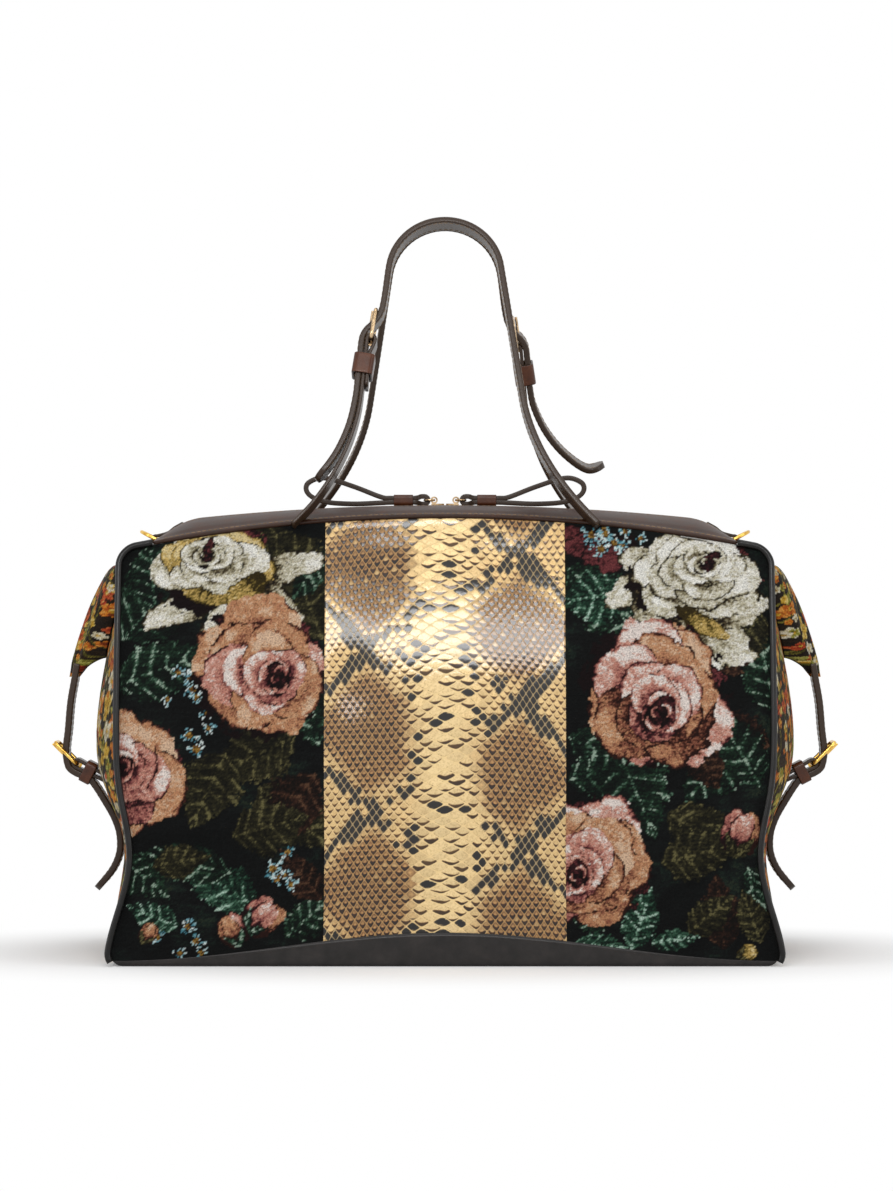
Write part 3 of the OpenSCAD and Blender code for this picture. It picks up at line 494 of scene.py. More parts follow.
finishes = {
    "tapestry": wovenCloth("rose_tapestry", 760.0, 0.9, 0.03, ("4c4c4c", "cfcfcf", "ffffff")),
    "floral": wovenCloth("floral_jacquard", 1000.0, 0.82, 0.03, ("6a6a6a", "d8d8d8", "ffffff")),
    "snake": snakeFinish(),
    "strap": leather("strap_leather", "291c12", "3b2b1e", "503b2a", 0.34, edge="33251a"),
    "keeper": leather("keeper_leather", "33190c", "4a2613", "5f361d", 0.36, edge="2c170c"),
    "band": leather("band_leather", "24140c", "362015", "4b2d1f", 0.42, edge="27170e", coat=0.0, shine=0.16),
    "black": leather("black_leather", "0b0a0a", "141312", "201d1c", 0.34, shine=0.22),
    "baseLeather": leather("base_leather", "161413", "211e1d", "2c2826", 0.38, shine=0.22),
    "thread": leather("waxed_thread", "685540", "8c7357", "a89272", 0.6, grain=4000.0, shine=0.2),
    "darkThread": leather("dark_thread", "171412", "27221f", "38312d", 0.6, grain=4000.0, shine=0.2),
    "gold": metalFinish("gold_plate", "ecc266", "c4953c", 0.24),
    "paleGold": metalFinish("pale_gold_plate", "cbb08c", "93795a", 0.22),
    "tape": zipFinish(),
}
print("finishes made:", len(finishes))


# tapestry: motifs are laid one over another as dithered yarns, in millimetres on the panel's face
def startCloth(x, z, ground, seed):
    # one random number per stitch in brick rows, over a streaked and patchy ground
    row = np.floor(z / 0.9 + 0.25 * np.sin(x / 17))
    column = np.floor(x / 1.25 + 0.5 * (row % 2) + 0.3 * np.sin(row * 12.9))
    cloth = {"x": x, "z": z, "stitch": scatter(row, column, seed), "lift": np.zeros(x.shape)}
    cloth["streak"] = cloud(x / 9, z, 1.3, seed + 6) * 0.6 + cloud(x / 3, z, 2.1, seed + 7) * 0.4
    cloth["dash"] = cloud(x / 2.4, z + 0.3 * np.sin(x / 5), 1.0, seed + 3) > 0.8
    cloth["rib"] = np.cos(2 * np.pi * z / 2.7 + 0.9 * np.sin(x / 21) + 3 * cloud(x, z, 19, seed + 8))
    murk = cloud(x, z, 24, seed + 1) * 0.5 + cloud(x, z, 7, seed + 2) * 0.25 + cloth["streak"] * 0.25
    cloth["tint"] = np.zeros(x.shape + (3,))
    layYarn(cloth, np.ones(x.shape, bool), ease(0.35, 0.9, murk) * 0.8, ground, 0.25 * cloth["streak"], 2.2)
    return cloth


def layYarn(cloth, where, shade, yarns, lift, blur=2.6):
    # picks the yarn nearest to the shade, 0 the darkest, each stitch a little off
    pick = np.broadcast_to(shade, cloth["x"].shape)[where] * (len(yarns) - 1)
    pick = np.rint(pick + (cloth["stitch"][where] - 0.5) * blur)
    cloth["tint"][where] = yarns[np.clip(pick, 0, len(yarns) - 1).astype(int)]
    cloth["lift"][where] = np.broadcast_to(lift, cloth["x"].shape)[where]


def local(cloth, x, z, turn):  # coordinates along and across a direction from a place
    c, s = math.cos(math.radians(turn)), math.sin(math.radians(turn))
    dx, dz = cloth["x"] - x, cloth["z"] - z
    return dx * c + dz * s, dz * c - dx * s


def leaf(cloth, x, z, length, width, turn, yarns, seed=0, veins=6):
    # pointed oval on a rib, half width a sine along it; short light strokes follow the slanting veins
    u, v = local(cloth, x, z, turn)
    u = u / length
    half = width / 2 * np.sin(np.pi * np.clip(u, 0, 1) ** 0.8)
    side = v / np.maximum(half, 0.6)
    ragged = 0.7 * (cloud(cloth["x"], cloth["z"], 4.5, seed + 5) - 0.5) + 0.5 * (cloth["stitch"] - 0.5)
    where = (u > 0) & (u < 1) & (np.abs(side) < 1 + 0.55 * ragged)
    slant = u * veins - 0.9 * np.abs(side)
    vein = 0.5 + 0.5 * np.cos(2 * np.pi * slant)
    stroke = cloud(slant * 9, v / 3.4, 1.6, seed + 1)
    patch = cloud(cloth["x"], cloth["z"], 11, seed)
    shade = 0.1 + 0.3 * patch + 0.12 * side + 0.58 * vein ** 4 * ease(0.2, 0.55, stroke)
    shade = shade + 0.24 * (cloth["streak"] - 0.5)
    shade = shade + 0.16 * ease(0.66, 0.86, stroke) + 0.4 * (np.abs(v) < 0.8) * (stroke > 0.3)
    shade = shade + 0.1 * cloth["rib"] + 0.24 * cloth["dash"] * (patch > 0.34)
    layYarn(cloth, where, shade, yarns, 0.12 + 0.3 * stroke)


def petal(cloth, x, z, long, wide, turn, yarns, glow, seed, lift):
    # ragged oval: dark at its foot and along a broken outline, light in a patch towards the rim
    a, b = local(cloth, x, z, turn)
    spread = lambda size, more: cloud(cloth["x"], cloth["z"], size, seed + more)
    ragged = 0.3 * (spread(6, 0) - 0.5) + 0.16 * (spread(2, 9) - 0.5)
    far = np.sqrt((a / long) ** 2 + (b / wide) ** 2) + ragged
    streak = cloud(b, a * 0.25, 1.5, seed + 2) - 0.5
    shade = 0.36 + 0.34 * a / long + 0.34 * streak + glow
    shade = shade + 0.26 * ease(0.55, 0.8, spread(9, 3)) * ease(0.9, 0.5, far)
    shade = shade - 0.42 * ease(0.1, -0.7, a / long) - 0.9 * ease(0.86, 0.97, far) * (spread(8, 4) > 0.36)
    layYarn(cloth, far < 1, shade, yarns, lift * (0.35 + 0.65 * ease(1.0, 0.45, far)))


def crescent(cloth, place, radius, squash, mid, half, yarns, glow, seed, lift):
    # a cupped petal about the heart: its rim falls off by the square of the angle from its middle
    x, z = cloth["x"], cloth["z"]
    a, b = x - place[0], (z - place[1]) / squash
    far, angle = np.hypot(a, b), np.arctan2(b, a) - math.radians(mid)
    across = ((angle + np.pi) % (2 * np.pi) - np.pi) / math.radians(half)
    ragged = 0.14 * (cloud(x, z, 10, seed) - 0.5) + 0.06 * (cloud(x, z, 2.4, seed + 9) - 0.5)
    out = far / (radius * np.maximum(0.3, 1 - 0.3 * across ** 2)) + ragged
    streak = cloud(across * half * radius / 50, far * 0.25, 1.5, seed + 2) - 0.5
    patch = cloud(x, z, 10, seed + 3)
    shade = 0.17 + 0.54 * ease(0.48, 0.86, out) - 0.16 * across ** 2 + 0.3 * streak + glow
    shade = shade + 0.42 * ease(0.5, 0.8, patch) * ease(0.55, 0.8, out)
    shade = shade - 0.8 * ease(0.93, 0.99, out) * (cloud(x, z, 9, seed + 4) > 0.42)
    where = (np.abs(across) < 1.12) & (out < 1)
    layYarn(cloth, where, shade, yarns, lift * (0.4 + 0.6 * ease(0.4, 0.85, out)))


roseForm = {  # petals, size and half angle of a ring; way out, size and half angle of a curl
    "rings": [(5, 1.0, 48), (5, 0.83, 52), (4, 0.63, 62), (3, 0.44, 80), (2, 0.28, 110)],
    "curls": [(0.07, 0.17, 62), (0.05, 0.13, 75), (0.02, 0.08, 90)],
}


def rose(cloth, x, z, radius, heart, squash, yarns, warm, core, seed, turn=0, gloom=0.0):
    # rings of cupped petals laid from the rim in, each nearer to the heart and darker on the gloomy side
    petal(cloth, x, z, radius * 0.9, radius * 0.9 * squash, turn, core, 0.1, seed + 50, 0.2)
    for level, (count, size, half) in enumerate(roseForm["rings"]):
        place = (x + heart[0] * (1 - size ** 2), z + heart[1] * (1 - size ** 2))
        for k in range(count):
            luck = scatter(k * 3.0 + 1, level * 7.0 + 2, seed)
            mid = 360 * (k + 0.5 * level + 0.45 * luck) / count + turn
            tone = warm if luck > 0.5 - 0.12 * (level < 2) and level < 3 else yarns
            high = math.sin(math.radians(mid))
            glow = 0.3 * (scatter(k * 5.0, level * 3.0, seed + 4) - 0.5) + 0.1 * high
            glow = glow - gloom * max(0, -high) * (level > 0)
            reach = radius * size * (0.9 + 0.2 * scatter(k * 2.0, level * 5.0, seed + 1))
            spread = half * (0.85 + 0.3 * luck)
            own, lift = seed + 11 * level + k, 0.3 + 0.12 * level
            crescent(cloth, place, reach, squash, mid, spread, tone, glow, own, lift)
    hx, hz = x + heart[0], z + heart[1]
    petal(cloth, hx, hz, radius * 0.24, radius * 0.15 * squash, turn + 30, core, -0.1, seed + 60, 0.2)
    for k, (away, size, half) in enumerate(roseForm["curls"]):
        mid = turn + 215 + 140 * k
        px = hx + away * radius * math.cos(math.radians(mid))
        pz = hz + away * radius * math.sin(math.radians(mid))
        r = radius * size
        crescent(cloth, (px, pz), r, squash, mid, half, yarns, -0.12, seed + 70 + k, 0.5)
        petal(cloth, px, pz, r * 0.62, r * 0.5 * squash, mid + 90, core, -0.1, seed + 80 + k, 0.3)


def smallFlower(cloth, x, z, radius, yarns, eye, seed):
    # nine dashes of random length round an eye, parted where a cosine of the angle is high
    dx, dz = cloth["x"] - x, cloth["z"] - z
    far, angle = np.hypot(dx, dz), np.arctan2(dz, dx)
    dash = np.floor((angle + seed) * 9 / (2 * np.pi))
    rim = radius * (0.35 + 0.65 * scatter(dash, 1.0, seed))
    thin = np.abs(np.cos(4.5 * (angle + seed))) < 0.8
    shade = 0.3 + 0.5 * scatter(dash, 4.0, seed) + 0.2 * far / radius
    layYarn(cloth, (far < rim) & thin & (cloth["stitch"] > 0.2), shade, yarns, 0.4)
    layYarn(cloth, far < radius * 0.3, 0.5, eye, 0.5)


def cluster(cloth, x, z, spreadX, spreadZ, count, yarns, eye, seed):  # small flowers strewn over a box
    for k in range(count):
        ox = (scatter(k + 1.0, 3.0, seed) - 0.5) * 2 * spreadX
        oz = (scatter(k + 1.0, 8.0, seed) - 0.5) * 2 * spreadZ
        smallFlower(cloth, x + ox, z + oz, 4.6 + 3.4 * scatter(k + 1.0, 5.0, seed), yarns, eye, seed + k)


def bud(cloth, x, z, size, turn, yarns, warm, greens, seed):
    # three closed petals in a cup of two narrow leaves
    c, s = math.cos(math.radians(turn)), math.sin(math.radians(turn))
    for k, (off, tone, glow) in enumerate([(-0.3, warm, -0.05), (0.3, yarns, 0.0), (0.0, yarns, 0.18)]):
        aside = off * size * 0.7
        petal(cloth, x - s * aside, z + c * aside, size * 0.62, size * 0.36, turn, tone, glow, seed + k, 0.5)
    for side in (-1, 1):
        foot = (x - c * size * 0.75, z - s * size * 0.75)
        leaf(cloth, *foot, size * 0.8, size * 0.3, turn + 32 * side, greens, seed + 4 + side, 3)


yarnTones = {
    "ground": tintsOf("060707", "090b0b", "0c0e0e", "0f1513", "16211b", "222a20", "37402f"),
    "green": tintsOf("070b09", "0a120e", "0e1a13", "15271c", "233b2a", "4d6a57", "98ad9b"),
    "mint": tintsOf("0b1511", "12241b", "1d392b", "385845", "6a8f79", "adc9b8"),
    "olive": tintsOf("0f0e08", "17160d", "232114", "312e1c", "45412a", "67613f"),
    "rust": tintsOf("0e0907", "190f0b", "281812", "3b251b", "563c2c"),
    "pink": tintsOf("1c0b0d", "36171a", "6f3a3a", "a2645a", "bf8171", "cc9583", "d9b2a4", "ebded6"),
    "peach": tintsOf("26120e", "4c281e", "875340", "b07a5a", "bf8a64", "cb9c77", "dab89a"),
    "maroon": tintsOf("0f0506", "190a0b", "2a1214", "471f22", "6b3436"),
    "cream": tintsOf("1a140c", "4a3f2c", "8a8166", "bcb59b", "d8d3c0", "e8e4d8", "f2f0e8"),
    "straw": tintsOf("33290f", "75632f", "a98e4e", "caac66", "dec994"),
    "blue": tintsOf("10262e", "2b5763", "4b8492", "7aadb9", "b3d3d6", "dde8e6"),
    "honey": tintsOf("35220f", "60421d", "8b692c", "a98545"),
}


# motifs of the left and the right panel, in the order in which they are laid
motifs = {
    -1: [
        (leaf, [
            (-196, 196, 62, 40, 48, "green", 1), (-200, 168, 66, 34, 20, "green", 2),
            (-176, 214, 44, 30, 95, "green", 21), (-74, 196, 66, 44, 112, "olive", 3),
            (-68, 232, 54, 32, 150, "olive", 4), (-96, 262, 40, 30, 200, "olive", 22),
            (-72, 250, 36, 20, 235, "green", 5), (-76, 132, 60, 30, 100, "green", 6),
            (-90, 138, 54, 34, 205, "olive", 7), (-132, 128, 50, 36, 245, "olive", 8),
            (-112, 108, 58, 36, 320, "olive", 9), (-78, 116, 52, 32, 235, "rust", 10),
            (-128, 78, 48, 30, 15, "olive", 23), (-112, 34, 62, 26, 146, "mint", 11),
            (-128, 56, 58, 24, 168, "green", 12), (-160, 24, 34, 17, 158, "mint", 13),
            (-196, 66, 40, 22, 320, "green", 24), (-96, 18, 40, 22, 40, "green", 14),
            (-176, 60, 36, 20, 10, "olive", 25), (-74, 40, 40, 20, 130, "rust", 26)]),
        (cluster, [
            (-160, 154, 21, 25, 11, "blue", "honey", 31), (-162, 16, 18, 9, 5, "blue", "honey", 32),
            (-92, 58, 13, 15, 5, "blue", "honey", 33)]),
        (rose, [(-192, 116, 36, (-4, 4), 1.05, "pink", "peach", "maroon", 41, 15, 0.2)]),
        (petal, [
            (-158, 216, 26, 10, 205, "cream", 0.1, 12, 0.45),
            (-128, 211, 27, 13, 222, "cream", 0.16, 8, 0.45),
            (-104, 219, 22, 10, 318, "cream", 0.1, 15, 0.45),
            (-96, 240, 24, 9, 15, "cream", 0.12, 6, 0.45)]),
        (rose, [(-141, 240, 38, (-4, 8), 0.66, "cream", "straw", "maroon", 43, 40)]),
        (petal, [(-121, 224, 15, 9, 225, "straw", 0.15, 8, 0.5)]),
        (rose, [(-113, 178, 43, (12, -5), 0.98, "pink", "peach", "maroon", 47, 70)]),
        (bud, [
            (-110, 30, 19, 40, "pink", "peach", "green", 52),
            (-128, 22, 15, 120, "peach", "pink", "green", 56),
            (-178, 20, 10, 60, "peach", "peach", "olive", 58)]),
    ],
    1: [
        (leaf, [
            (122, 204, 56, 40, 146, "green", 61), (74, 240, 52, 34, 320, "green", 62),
            (112, 226, 44, 30, 190, "mint", 63), (200, 152, 54, 32, 102, "green", 64),
            (192, 214, 42, 26, 240, "olive", 65), (74, 138, 66, 36, 335, "green", 66),
            (74, 112, 66, 36, 12, "green", 67), (104, 132, 60, 40, 292, "green", 68),
            (176, 138, 52, 34, 232, "green", 69), (196, 132, 44, 26, 160, "rust", 70),
            (190, 108, 52, 30, 120, "green", 71), (134, 92, 50, 34, 330, "olive", 72),
            (170, 90, 50, 30, 230, "olive", 73), (130, 62, 46, 30, 14, "olive", 74),
            (112, 10, 40, 22, 72, "mint", 75), (124, 14, 30, 12, 8, "mint", 76),
            (78, 14, 32, 14, 355, "mint", 77), (96, 22, 26, 12, 150, "green", 78),
            (168, 10, 46, 24, 96, "rust", 79), (182, 60, 40, 16, 280, "green", 80),
            (190, 14, 34, 18, 110, "olive", 81), (146, 20, 36, 20, 40, "olive", 82),
            (150, 132, 30, 22, 300, "rust", 83), (186, 190, 30, 20, 200, "rust", 84)]),
        (petal, [
            (78 + 9 * k, 257 - 3 * k, 14, 8, 170 + 20 * k, "maroon", 0.35, 90 + k, 0.3) for k in range(4)]),
        (cluster, [(104, 256, 17, 8, 8, "blue", "honey", 92)]),
        (petal, [
            (112, 226, 16, 9, 215, "cream", 0.12, 17, 0.45),
            (126, 212, 28, 11, 288, "cream", 0.14, 12, 0.45),
            (150, 200, 28, 12, 312, "cream", 0.16, 17, 0.45),
            (168, 196, 22, 13, 330, "cream", 0.18, 16, 0.45),
            (176, 212, 26, 9, 20, "cream", 0.12, 5, 0.45),
            (124, 244, 20, 9, 170, "cream", 0.1, 10, 0.45)]),
        (rose, [(152, 234, 42, (8, 9), 0.68, "cream", "cream", "maroon", 94, 10)]),
        (petal, [(156, 206, 18, 6, 330, "straw", 0.0, 9, 0.45)]),
        (rose, [
            (127, 164, 47, (2, -12), 1.0, "pink", "peach", "maroon", 97, 25, 0.5),
            (84, 62, 40, (-5, -8), 1.05, "pink", "peach", "maroon", 101, 50, 0.3)]),
        (bud, [
            (178, 80, 21, 78, "pink", "peach", "olive", 106),
            (182, 8, 9, 20, "straw", "straw", "olive", 109)]),
    ],
}


def paint(cloth, side):  # each row of a panel's motifs, with the yarns that it names
    for draw, rows in motifs[side]:
        for row in rows:
            draw(cloth, *[yarnTones[value] if isinstance(value, str) else value for value in row])


tapestry = {
    "step": 0.92, "rise": 252, "relief": 1.1, "ruck": 0.5,
    "creases": {  # each from one place to another, its width and its height
        -1: [(-196, 60, -120, 46, 7, -2.6), (-190, 78, -132, 84, 8, 1.8),
             (-198, 40, -140, 18, 8, 2.2), (-120, 250, -80, 190, 16, -1.2)],
        1: [(186, 74, 132, 36, 7, -3.2), (196, 66, 160, 22, 8, 2.4),
            (192, 92, 140, 66, 10, 1.8), (120, 252, 84, 200, 16, -1.2)],
    },
}


def creases(x, z, side):
    # slanting valleys and ridges towards the lower corners: a bell across a line, eased out along it
    total = np.zeros(x.shape)
    for x0, z0, x1, z1, wide, high in tapestry["creases"][side]:
        long = math.hypot(x1 - x0, z1 - z0)
        along = ((x - x0) * (x1 - x0) + (z - z0) * (z1 - z0)) / long ** 2
        off = ((x - x0) * (z1 - z0) - (z - z0) * (x1 - x0)) / long
        total += high * np.exp(-((off / wide) ** 2)) * ease(-0.25, 0.2, along) * ease(1.3, 0.7, along)
    return total


def frontGrid(sList, rows):  # the front's face: s across, t from the base seam to the top seam
    s, t = np.meshgrid(sList, np.linspace(0, 1, rows))
    z = lowerZ(s) + (upperZ(s) - lowerZ(s)) * t
    return np.stack([sideX(s, z), -depthY(s, z), z], -1), s, t


def tapestrySide(side):
    # the front's face, raised by the motifs, ruckled by noise and creased, all eased out to the seams
    step = tapestry["step"]
    flat = np.linspace(centreS, cornerS, int((cornerS - centreS) * bag["halfW"] / step))
    bend = cornerS + (1 - cornerS) * np.sin(np.linspace(0, np.pi / 2, 20))[1:]
    sList = np.concatenate([flat, bend])
    sList = sList if side > 0 else -sList[::-1]
    points, s, t = frontGrid(sList, int(tapestry["rise"] / step))
    x, z, far = points[..., 0], points[..., 2], np.abs(s)
    cloth = startCloth(x, z, yarnTones["ground"], 7.0 + side)
    paint(cloth, side)
    edge = ease(0, 0.035, t) * ease(1, 0.965, t) * ease(1, 0.96, far) * ease(centreS, centreS + 0.04, far)
    ruck = tapestry["ruck"] * (cloth["stitch"] - 0.5) + 0.9 * (cloud(x, z, 22, 3) - 0.5)
    points[..., 1] -= edge * (tapestry["relief"] * cloth["lift"] + ruck + creases(x, z, side))
    names = corners[side]
    made = sheetGrid(points, (0, bag["wall"], 0))
    pieces = twins(names, "_tapestry", made, "tapestry", "_panel", tints={"yarn": padded(cloth["tint"])})


for side in (-1, 1):
    tapestrySide(side)
print("tapestry panels laid")

snake = {
    "step": 0.85, "rise": 250, "edgePitch": 4.6, "midPitch": 13.5, "midSpan": 20.0, "rowH": 6.8, "dome": 0.07,
    "sway": 2.2, "swayLong": 31.0, "dip": 6.0, "line": 0.05, "lineMore": 0.07,
    "crossX": 46.0, "crossings": ((-1, 92.0, 98.0), (1, 68.0, 90.0)), "inSlope": 0.75, "outSlope": 1.0,
}
snakeTones = dict(zip(
    ("straw", "tan", "fawn", "umber", "charcoal", "soot", "cream",
     "line", "brownLine", "darkLine", "paleLine"),
    tintsOf("e6c88e", "d8b47a", "b88d58", "6e4c2d", "131110", "241d18", "ecd09a",
            "d2b380", "a07c50", "94805f", "e2c68f")))


def mixTints(a, b, share):  # two tints mixed by a share for each point
    return a + (b - a) * np.asarray(share)[..., None]


def snakeFields(midX, midZ, luck):
    # crossing dark arms at each side: gap is the height above or below them, dark where charcoal may lie
    absX = np.abs(midX)
    out = absX - snake["crossX"]
    arm = snake["inSlope"] * np.maximum(0, -out) + snake["outSlope"] * np.maximum(0, out)
    dz = np.zeros(midX.shape)
    for end, first, period in snake["crossings"]:
        own = midX * end > 0
        dz[own] = ((midZ - first + period / 2) % period - period / 2)[own]
    wander = 5.0 * (cloud(midX, midZ, 13, 21) - 0.5) + 2.5 * (luck - 0.5)
    gap = np.abs(dz) - arm + wander
    half = np.where(out > -4, 7.6 - 4.4 * ease(10, 27, out), 4.6)
    keep = np.where(out > -4, 0.05, 0.2 + 0.3 * ease(-4, -26, out))
    dark = (np.abs(gap) < half) & (absX > 17) | (np.hypot(out, dz) < 8)
    return gap, dark, keep, absX


def snakeLattice(x, z, half):
    # scale widths add up across the panel; rows rise evenly and fall to the sides by a power of 1.5
    fine = np.linspace(-half - 5, half + 5, 800)
    pitch = (snake["midPitch"] - snake["edgePitch"]) * np.exp(-((fine / snake["midSpan"]) ** 2))
    pitch = snake["edgePitch"] + pitch
    count = np.concatenate([[0], np.cumsum((fine[1] - fine[0]) / ((pitch[1:] + pitch[:-1]) / 2))])
    wave = snake["sway"] * np.sin(z / snake["swayLong"])
    sway = wave + 1.4 * (cloud(x, z, 30, 4) - 0.5)
    a = np.interp(x + sway, fine, count) + 0.25 * (cloud(x, z, 14, 12) - 0.5)
    dip = lambda at: snake["dip"] * (np.abs(at) / half) ** 1.5
    b = (z + dip(x) + 1.5 * np.sin(x / 19 + z / 43)) / snake["rowH"] + 0.2 * (cloud(x, z, 12, 13) - 0.5)
    p, q = a + b, a - b
    i, j = np.floor(p), np.floor(q)
    midX = np.interp((i + j + 1) / 2, count, fine) - wave
    midZ = (i - j) / 2 * snake["rowH"] - dip(midX)
    return p, q, i, j, midX, midZ


def snakePanel():
    # the front's middle, each scale tinted by where it lies and raised by a fourth power of its rim
    half = bag["centreW"] / 2
    columns = np.linspace(-centreS, centreS, int(2 * half / snake["step"]))
    points, s, t = frontGrid(columns, int(snake["rise"] / snake["step"]))
    x, z = points[..., 0], points[..., 2]
    p, q, i, j, midX, midZ = snakeLattice(x, z, half)
    fp, fq = p - i - 0.5, q - j - 0.5
    rim = 2 * np.maximum(np.abs(fp), np.abs(fq))
    # fields: each scale takes its colour at its own middle
    tone = snakeTones
    luck, luck2 = scatter(i, j, 3.0), scatter(i, j, 8.0)
    gap, dark, keep, absX = snakeFields(midX, midZ, luck)
    dark = dark & (luck2 > keep)
    saddle = ease(4, 17, gap) * ease(13, 27, absX + 10 * (cloud(midX, midZ, 11, 9) - 0.5))
    centre = np.exp(-((midX / 20) ** 2))
    likely = 0.07 * centre + 0.17 * np.exp(-(((absX - 19) / 7) ** 2))
    spot = (scatter(i, j, 15.0) < likely) & (saddle < 0.3)
    # colours: a straw ground, brown saddles, then charcoal scales and spots
    ground = mixTints(tone["straw"], tone["tan"], cloud(x, z, 26, 31))
    ground = mixTints(ground, tone["cream"], 0.8 * centre)
    ground = ground * (0.76 + 0.22 * luck + 0.32 * ease(120, 240, z))[..., None]
    brown = mixTints(tone["umber"], tone["fawn"], ease(0.9, 0.15, rim + 0.4 * (luck2 - 0.5)))
    brown = brown * ((0.74 + 0.4 * luck2) * (1.15 - 0.3 * ease(14, 40, gap)))[..., None]
    tint = mixTints(ground, brown, saddle * (0.55 + 0.45 * (luck > 0.12)))
    charcoal = tone["charcoal"] * (0.75 + 0.5 * luck)[..., None]
    charcoal = charcoal + tone["soot"] * (0.2 * ease(0.2, 0.9, rim))[..., None]
    disc = ease(1.0, 0.78, np.hypot(fp, fq) * 1.6 + 0.3 * (cloud(x, z, 2.2, 5) - 0.5))
    shade = np.maximum(dark * np.where(absX > 40, 1.0, ease(0.15, 0.5, disc + 0.2)), spot * disc)
    tint = mixTints(tint, charcoal, np.clip(shade, 0, 1))
    lineTint = mixTints(tone["line"], tone["brownLine"], saddle)
    lineTint = mixTints(lineTint, tone["paleLine"], 0.9 * centre * (1 - saddle))
    lineTint = np.where(dark[..., None], tone["darkLine"], lineTint)
    # painted shadow under the lower rims: on some of the wide middle scales, thin on the side ones, broad in
    # the saddles
    some = (scatter(i, j, 27.0) < 0.6) * (0.8 + 0.2 * luck)
    shadowShare = np.where(centre > 0.3, some, 0.7 + 0.2 * luck2 + 0.1 * saddle) * (1 - dark) * (1 - spot)
    begin = np.where(centre > 0.3, 0.62 + 0.28 * luck2, 0.79 - 0.15 * saddle)
    begin = begin + 0.2 * (cloud(x, z, 2.6, 8) - 0.5)
    paintedRimShadow = np.stack([shadowShare, begin, np.zeros(x.shape)], -1)
    outer = 1 - 0.55 * centre
    lattice = np.stack([p, q, snake["line"] + snake["lineMore"] * outer], -1)
    # form: a low dome to each scale, dents under the handle's roots and a slack sag
    bell = lambda x0, wide, z0, high: np.exp(-(((x - x0) / wide) ** 2 + ((z - z0) / high) ** 2))
    dome = snake["dome"] * (1 - rim ** 4) * (0.6 + 0.4 * outer) + 0.03 * (fp - fq)
    edge = ease(0, 0.02, t) * ease(1, 0.98, t) * ease(centreS, centreS - 0.02, np.abs(s))
    dent = 0.5 * bell(-30, 26, 250, 11) + 0.4 * bell(34, 24, 248, 10)
    sag = 0.8 * (cloud(x, z, 46, 41) - 0.5) - 1.6 * bell(-56, 15, 168, 24)
    points[..., 1] -= edge * (dome + sag - dent)
    made = sheetGrid(points, (0, bag["wall"], 0))
    twins(fronts, "_snake_panel", made, "snake", "_centre_panel",
          tints={"scaleTint": padded(tint), "lineTint": padded(lineTint)},
          fields={"lattice": padded(lattice), "paintedRimShadow": padded(paintedRimShadow)})


snakePanel()
print("snake panels laid")


def edgePath(rise, corner, top):
    # side edge of the front from the base up, round the corner and in to the end of the zip
    z = np.linspace(lowerZ(1.0), upperZ(1.0), rise)
    bend = cornerS + (1 - cornerS) * np.cos(np.linspace(0, np.pi / 2, corner))[1:]
    end = np.linspace(cornerS, zipForm["bandHalf"] / bag["halfW"], top)[1:]
    s = np.concatenate([np.ones(rise), bend, end])
    z = np.concatenate([z, upperZ(bend), upperZ(end)])
    return np.stack([sideX(s, z), depthY(s, z), z], 1)


floralTones = {
    "ground": tintsOf("1a1109", "24180c", "2f2110", "3a2a14"),
    "stems": tintsOf("2c280f", "454016", "5f581f", "857c34"),
    "flowers": [
        tintsOf("7a3410", "b3581b", "cf7a26", "e09a45"), tintsOf("5a1a0e", "93301a", "b84a26", "cf6e3e"),
        tintsOf("7d5a16", "b58a26", "d3aa40", "e3c878"), tintsOf("8a7a55", "bfb08a", "dacfae", "eae3cc"),
        tintsOf("4b4a16", "6f6b22", "918b35", "b0ab58")],
}


def floralCloth(u, w, seed):
    # small flowers on three jittered lattices over wavering stems: each rim is a cosine of the angle
    tones = floralTones["flowers"]
    cloth = startCloth(u, w, floralTones["ground"], seed)
    for k, (wave, gap, lean) in enumerate([(9.0, 13.0, 0.35), (12.0, 17.0, -0.3)]):
        line = u + lean * w + 3.2 * np.sin(w / wave + k)
        off = np.abs((line / gap) % 1 - 0.5) * gap
        layYarn(cloth, off < 0.55, 0.4 + 0.5 * cloud(u, w, 6, seed + k), floralTones["stems"], 0.25)
    around = [(di, dj) for di in (-1, 0, 1) for dj in (-1, 0, 1)]
    for size, shift, share in ((15.0, 0.0, 0.42), (10.0, 4.7, 0.36), (8.0, 2.1, 0.34)):
        for di, dj in around:
            i, j = np.floor((u + shift) / size) + di, np.floor((w + shift) / size) + dj
            mx = (i + 0.5 + 0.6 * (scatter(i, j, seed + size) - 0.5)) * size - shift
            my = (j + 0.5 + 0.6 * (scatter(i, j, seed + size + 1) - 0.5)) * size - shift
            r = size * share * (0.75 + 0.5 * scatter(i, j, seed + 5))
            far, angle = np.hypot(u - mx, w - my), np.arctan2(w - my, u - mx)
            kind = scatter(i, j, seed + size + 9)
            rim = r * (0.62 + 0.38 * np.abs(np.cos(2.5 * angle + 6 * kind)))
            grown = scatter(i, j, seed + size + 3) > 0.42
            which = np.where(kind > 0.834, 0, np.floor(kind * 5.999))
            for k, yarns in enumerate(tones):
                shade = 0.2 + 0.75 * far / r + 0.3 * (cloud(u, w, 3, seed + k) - 0.5)
                layYarn(cloth, grown & (far < rim) & (which == k), shade, yarns, 0.35)
            layYarn(cloth, grown & (far < 0.24 * r), 0.5, tones[2], 0.45)
    return cloth


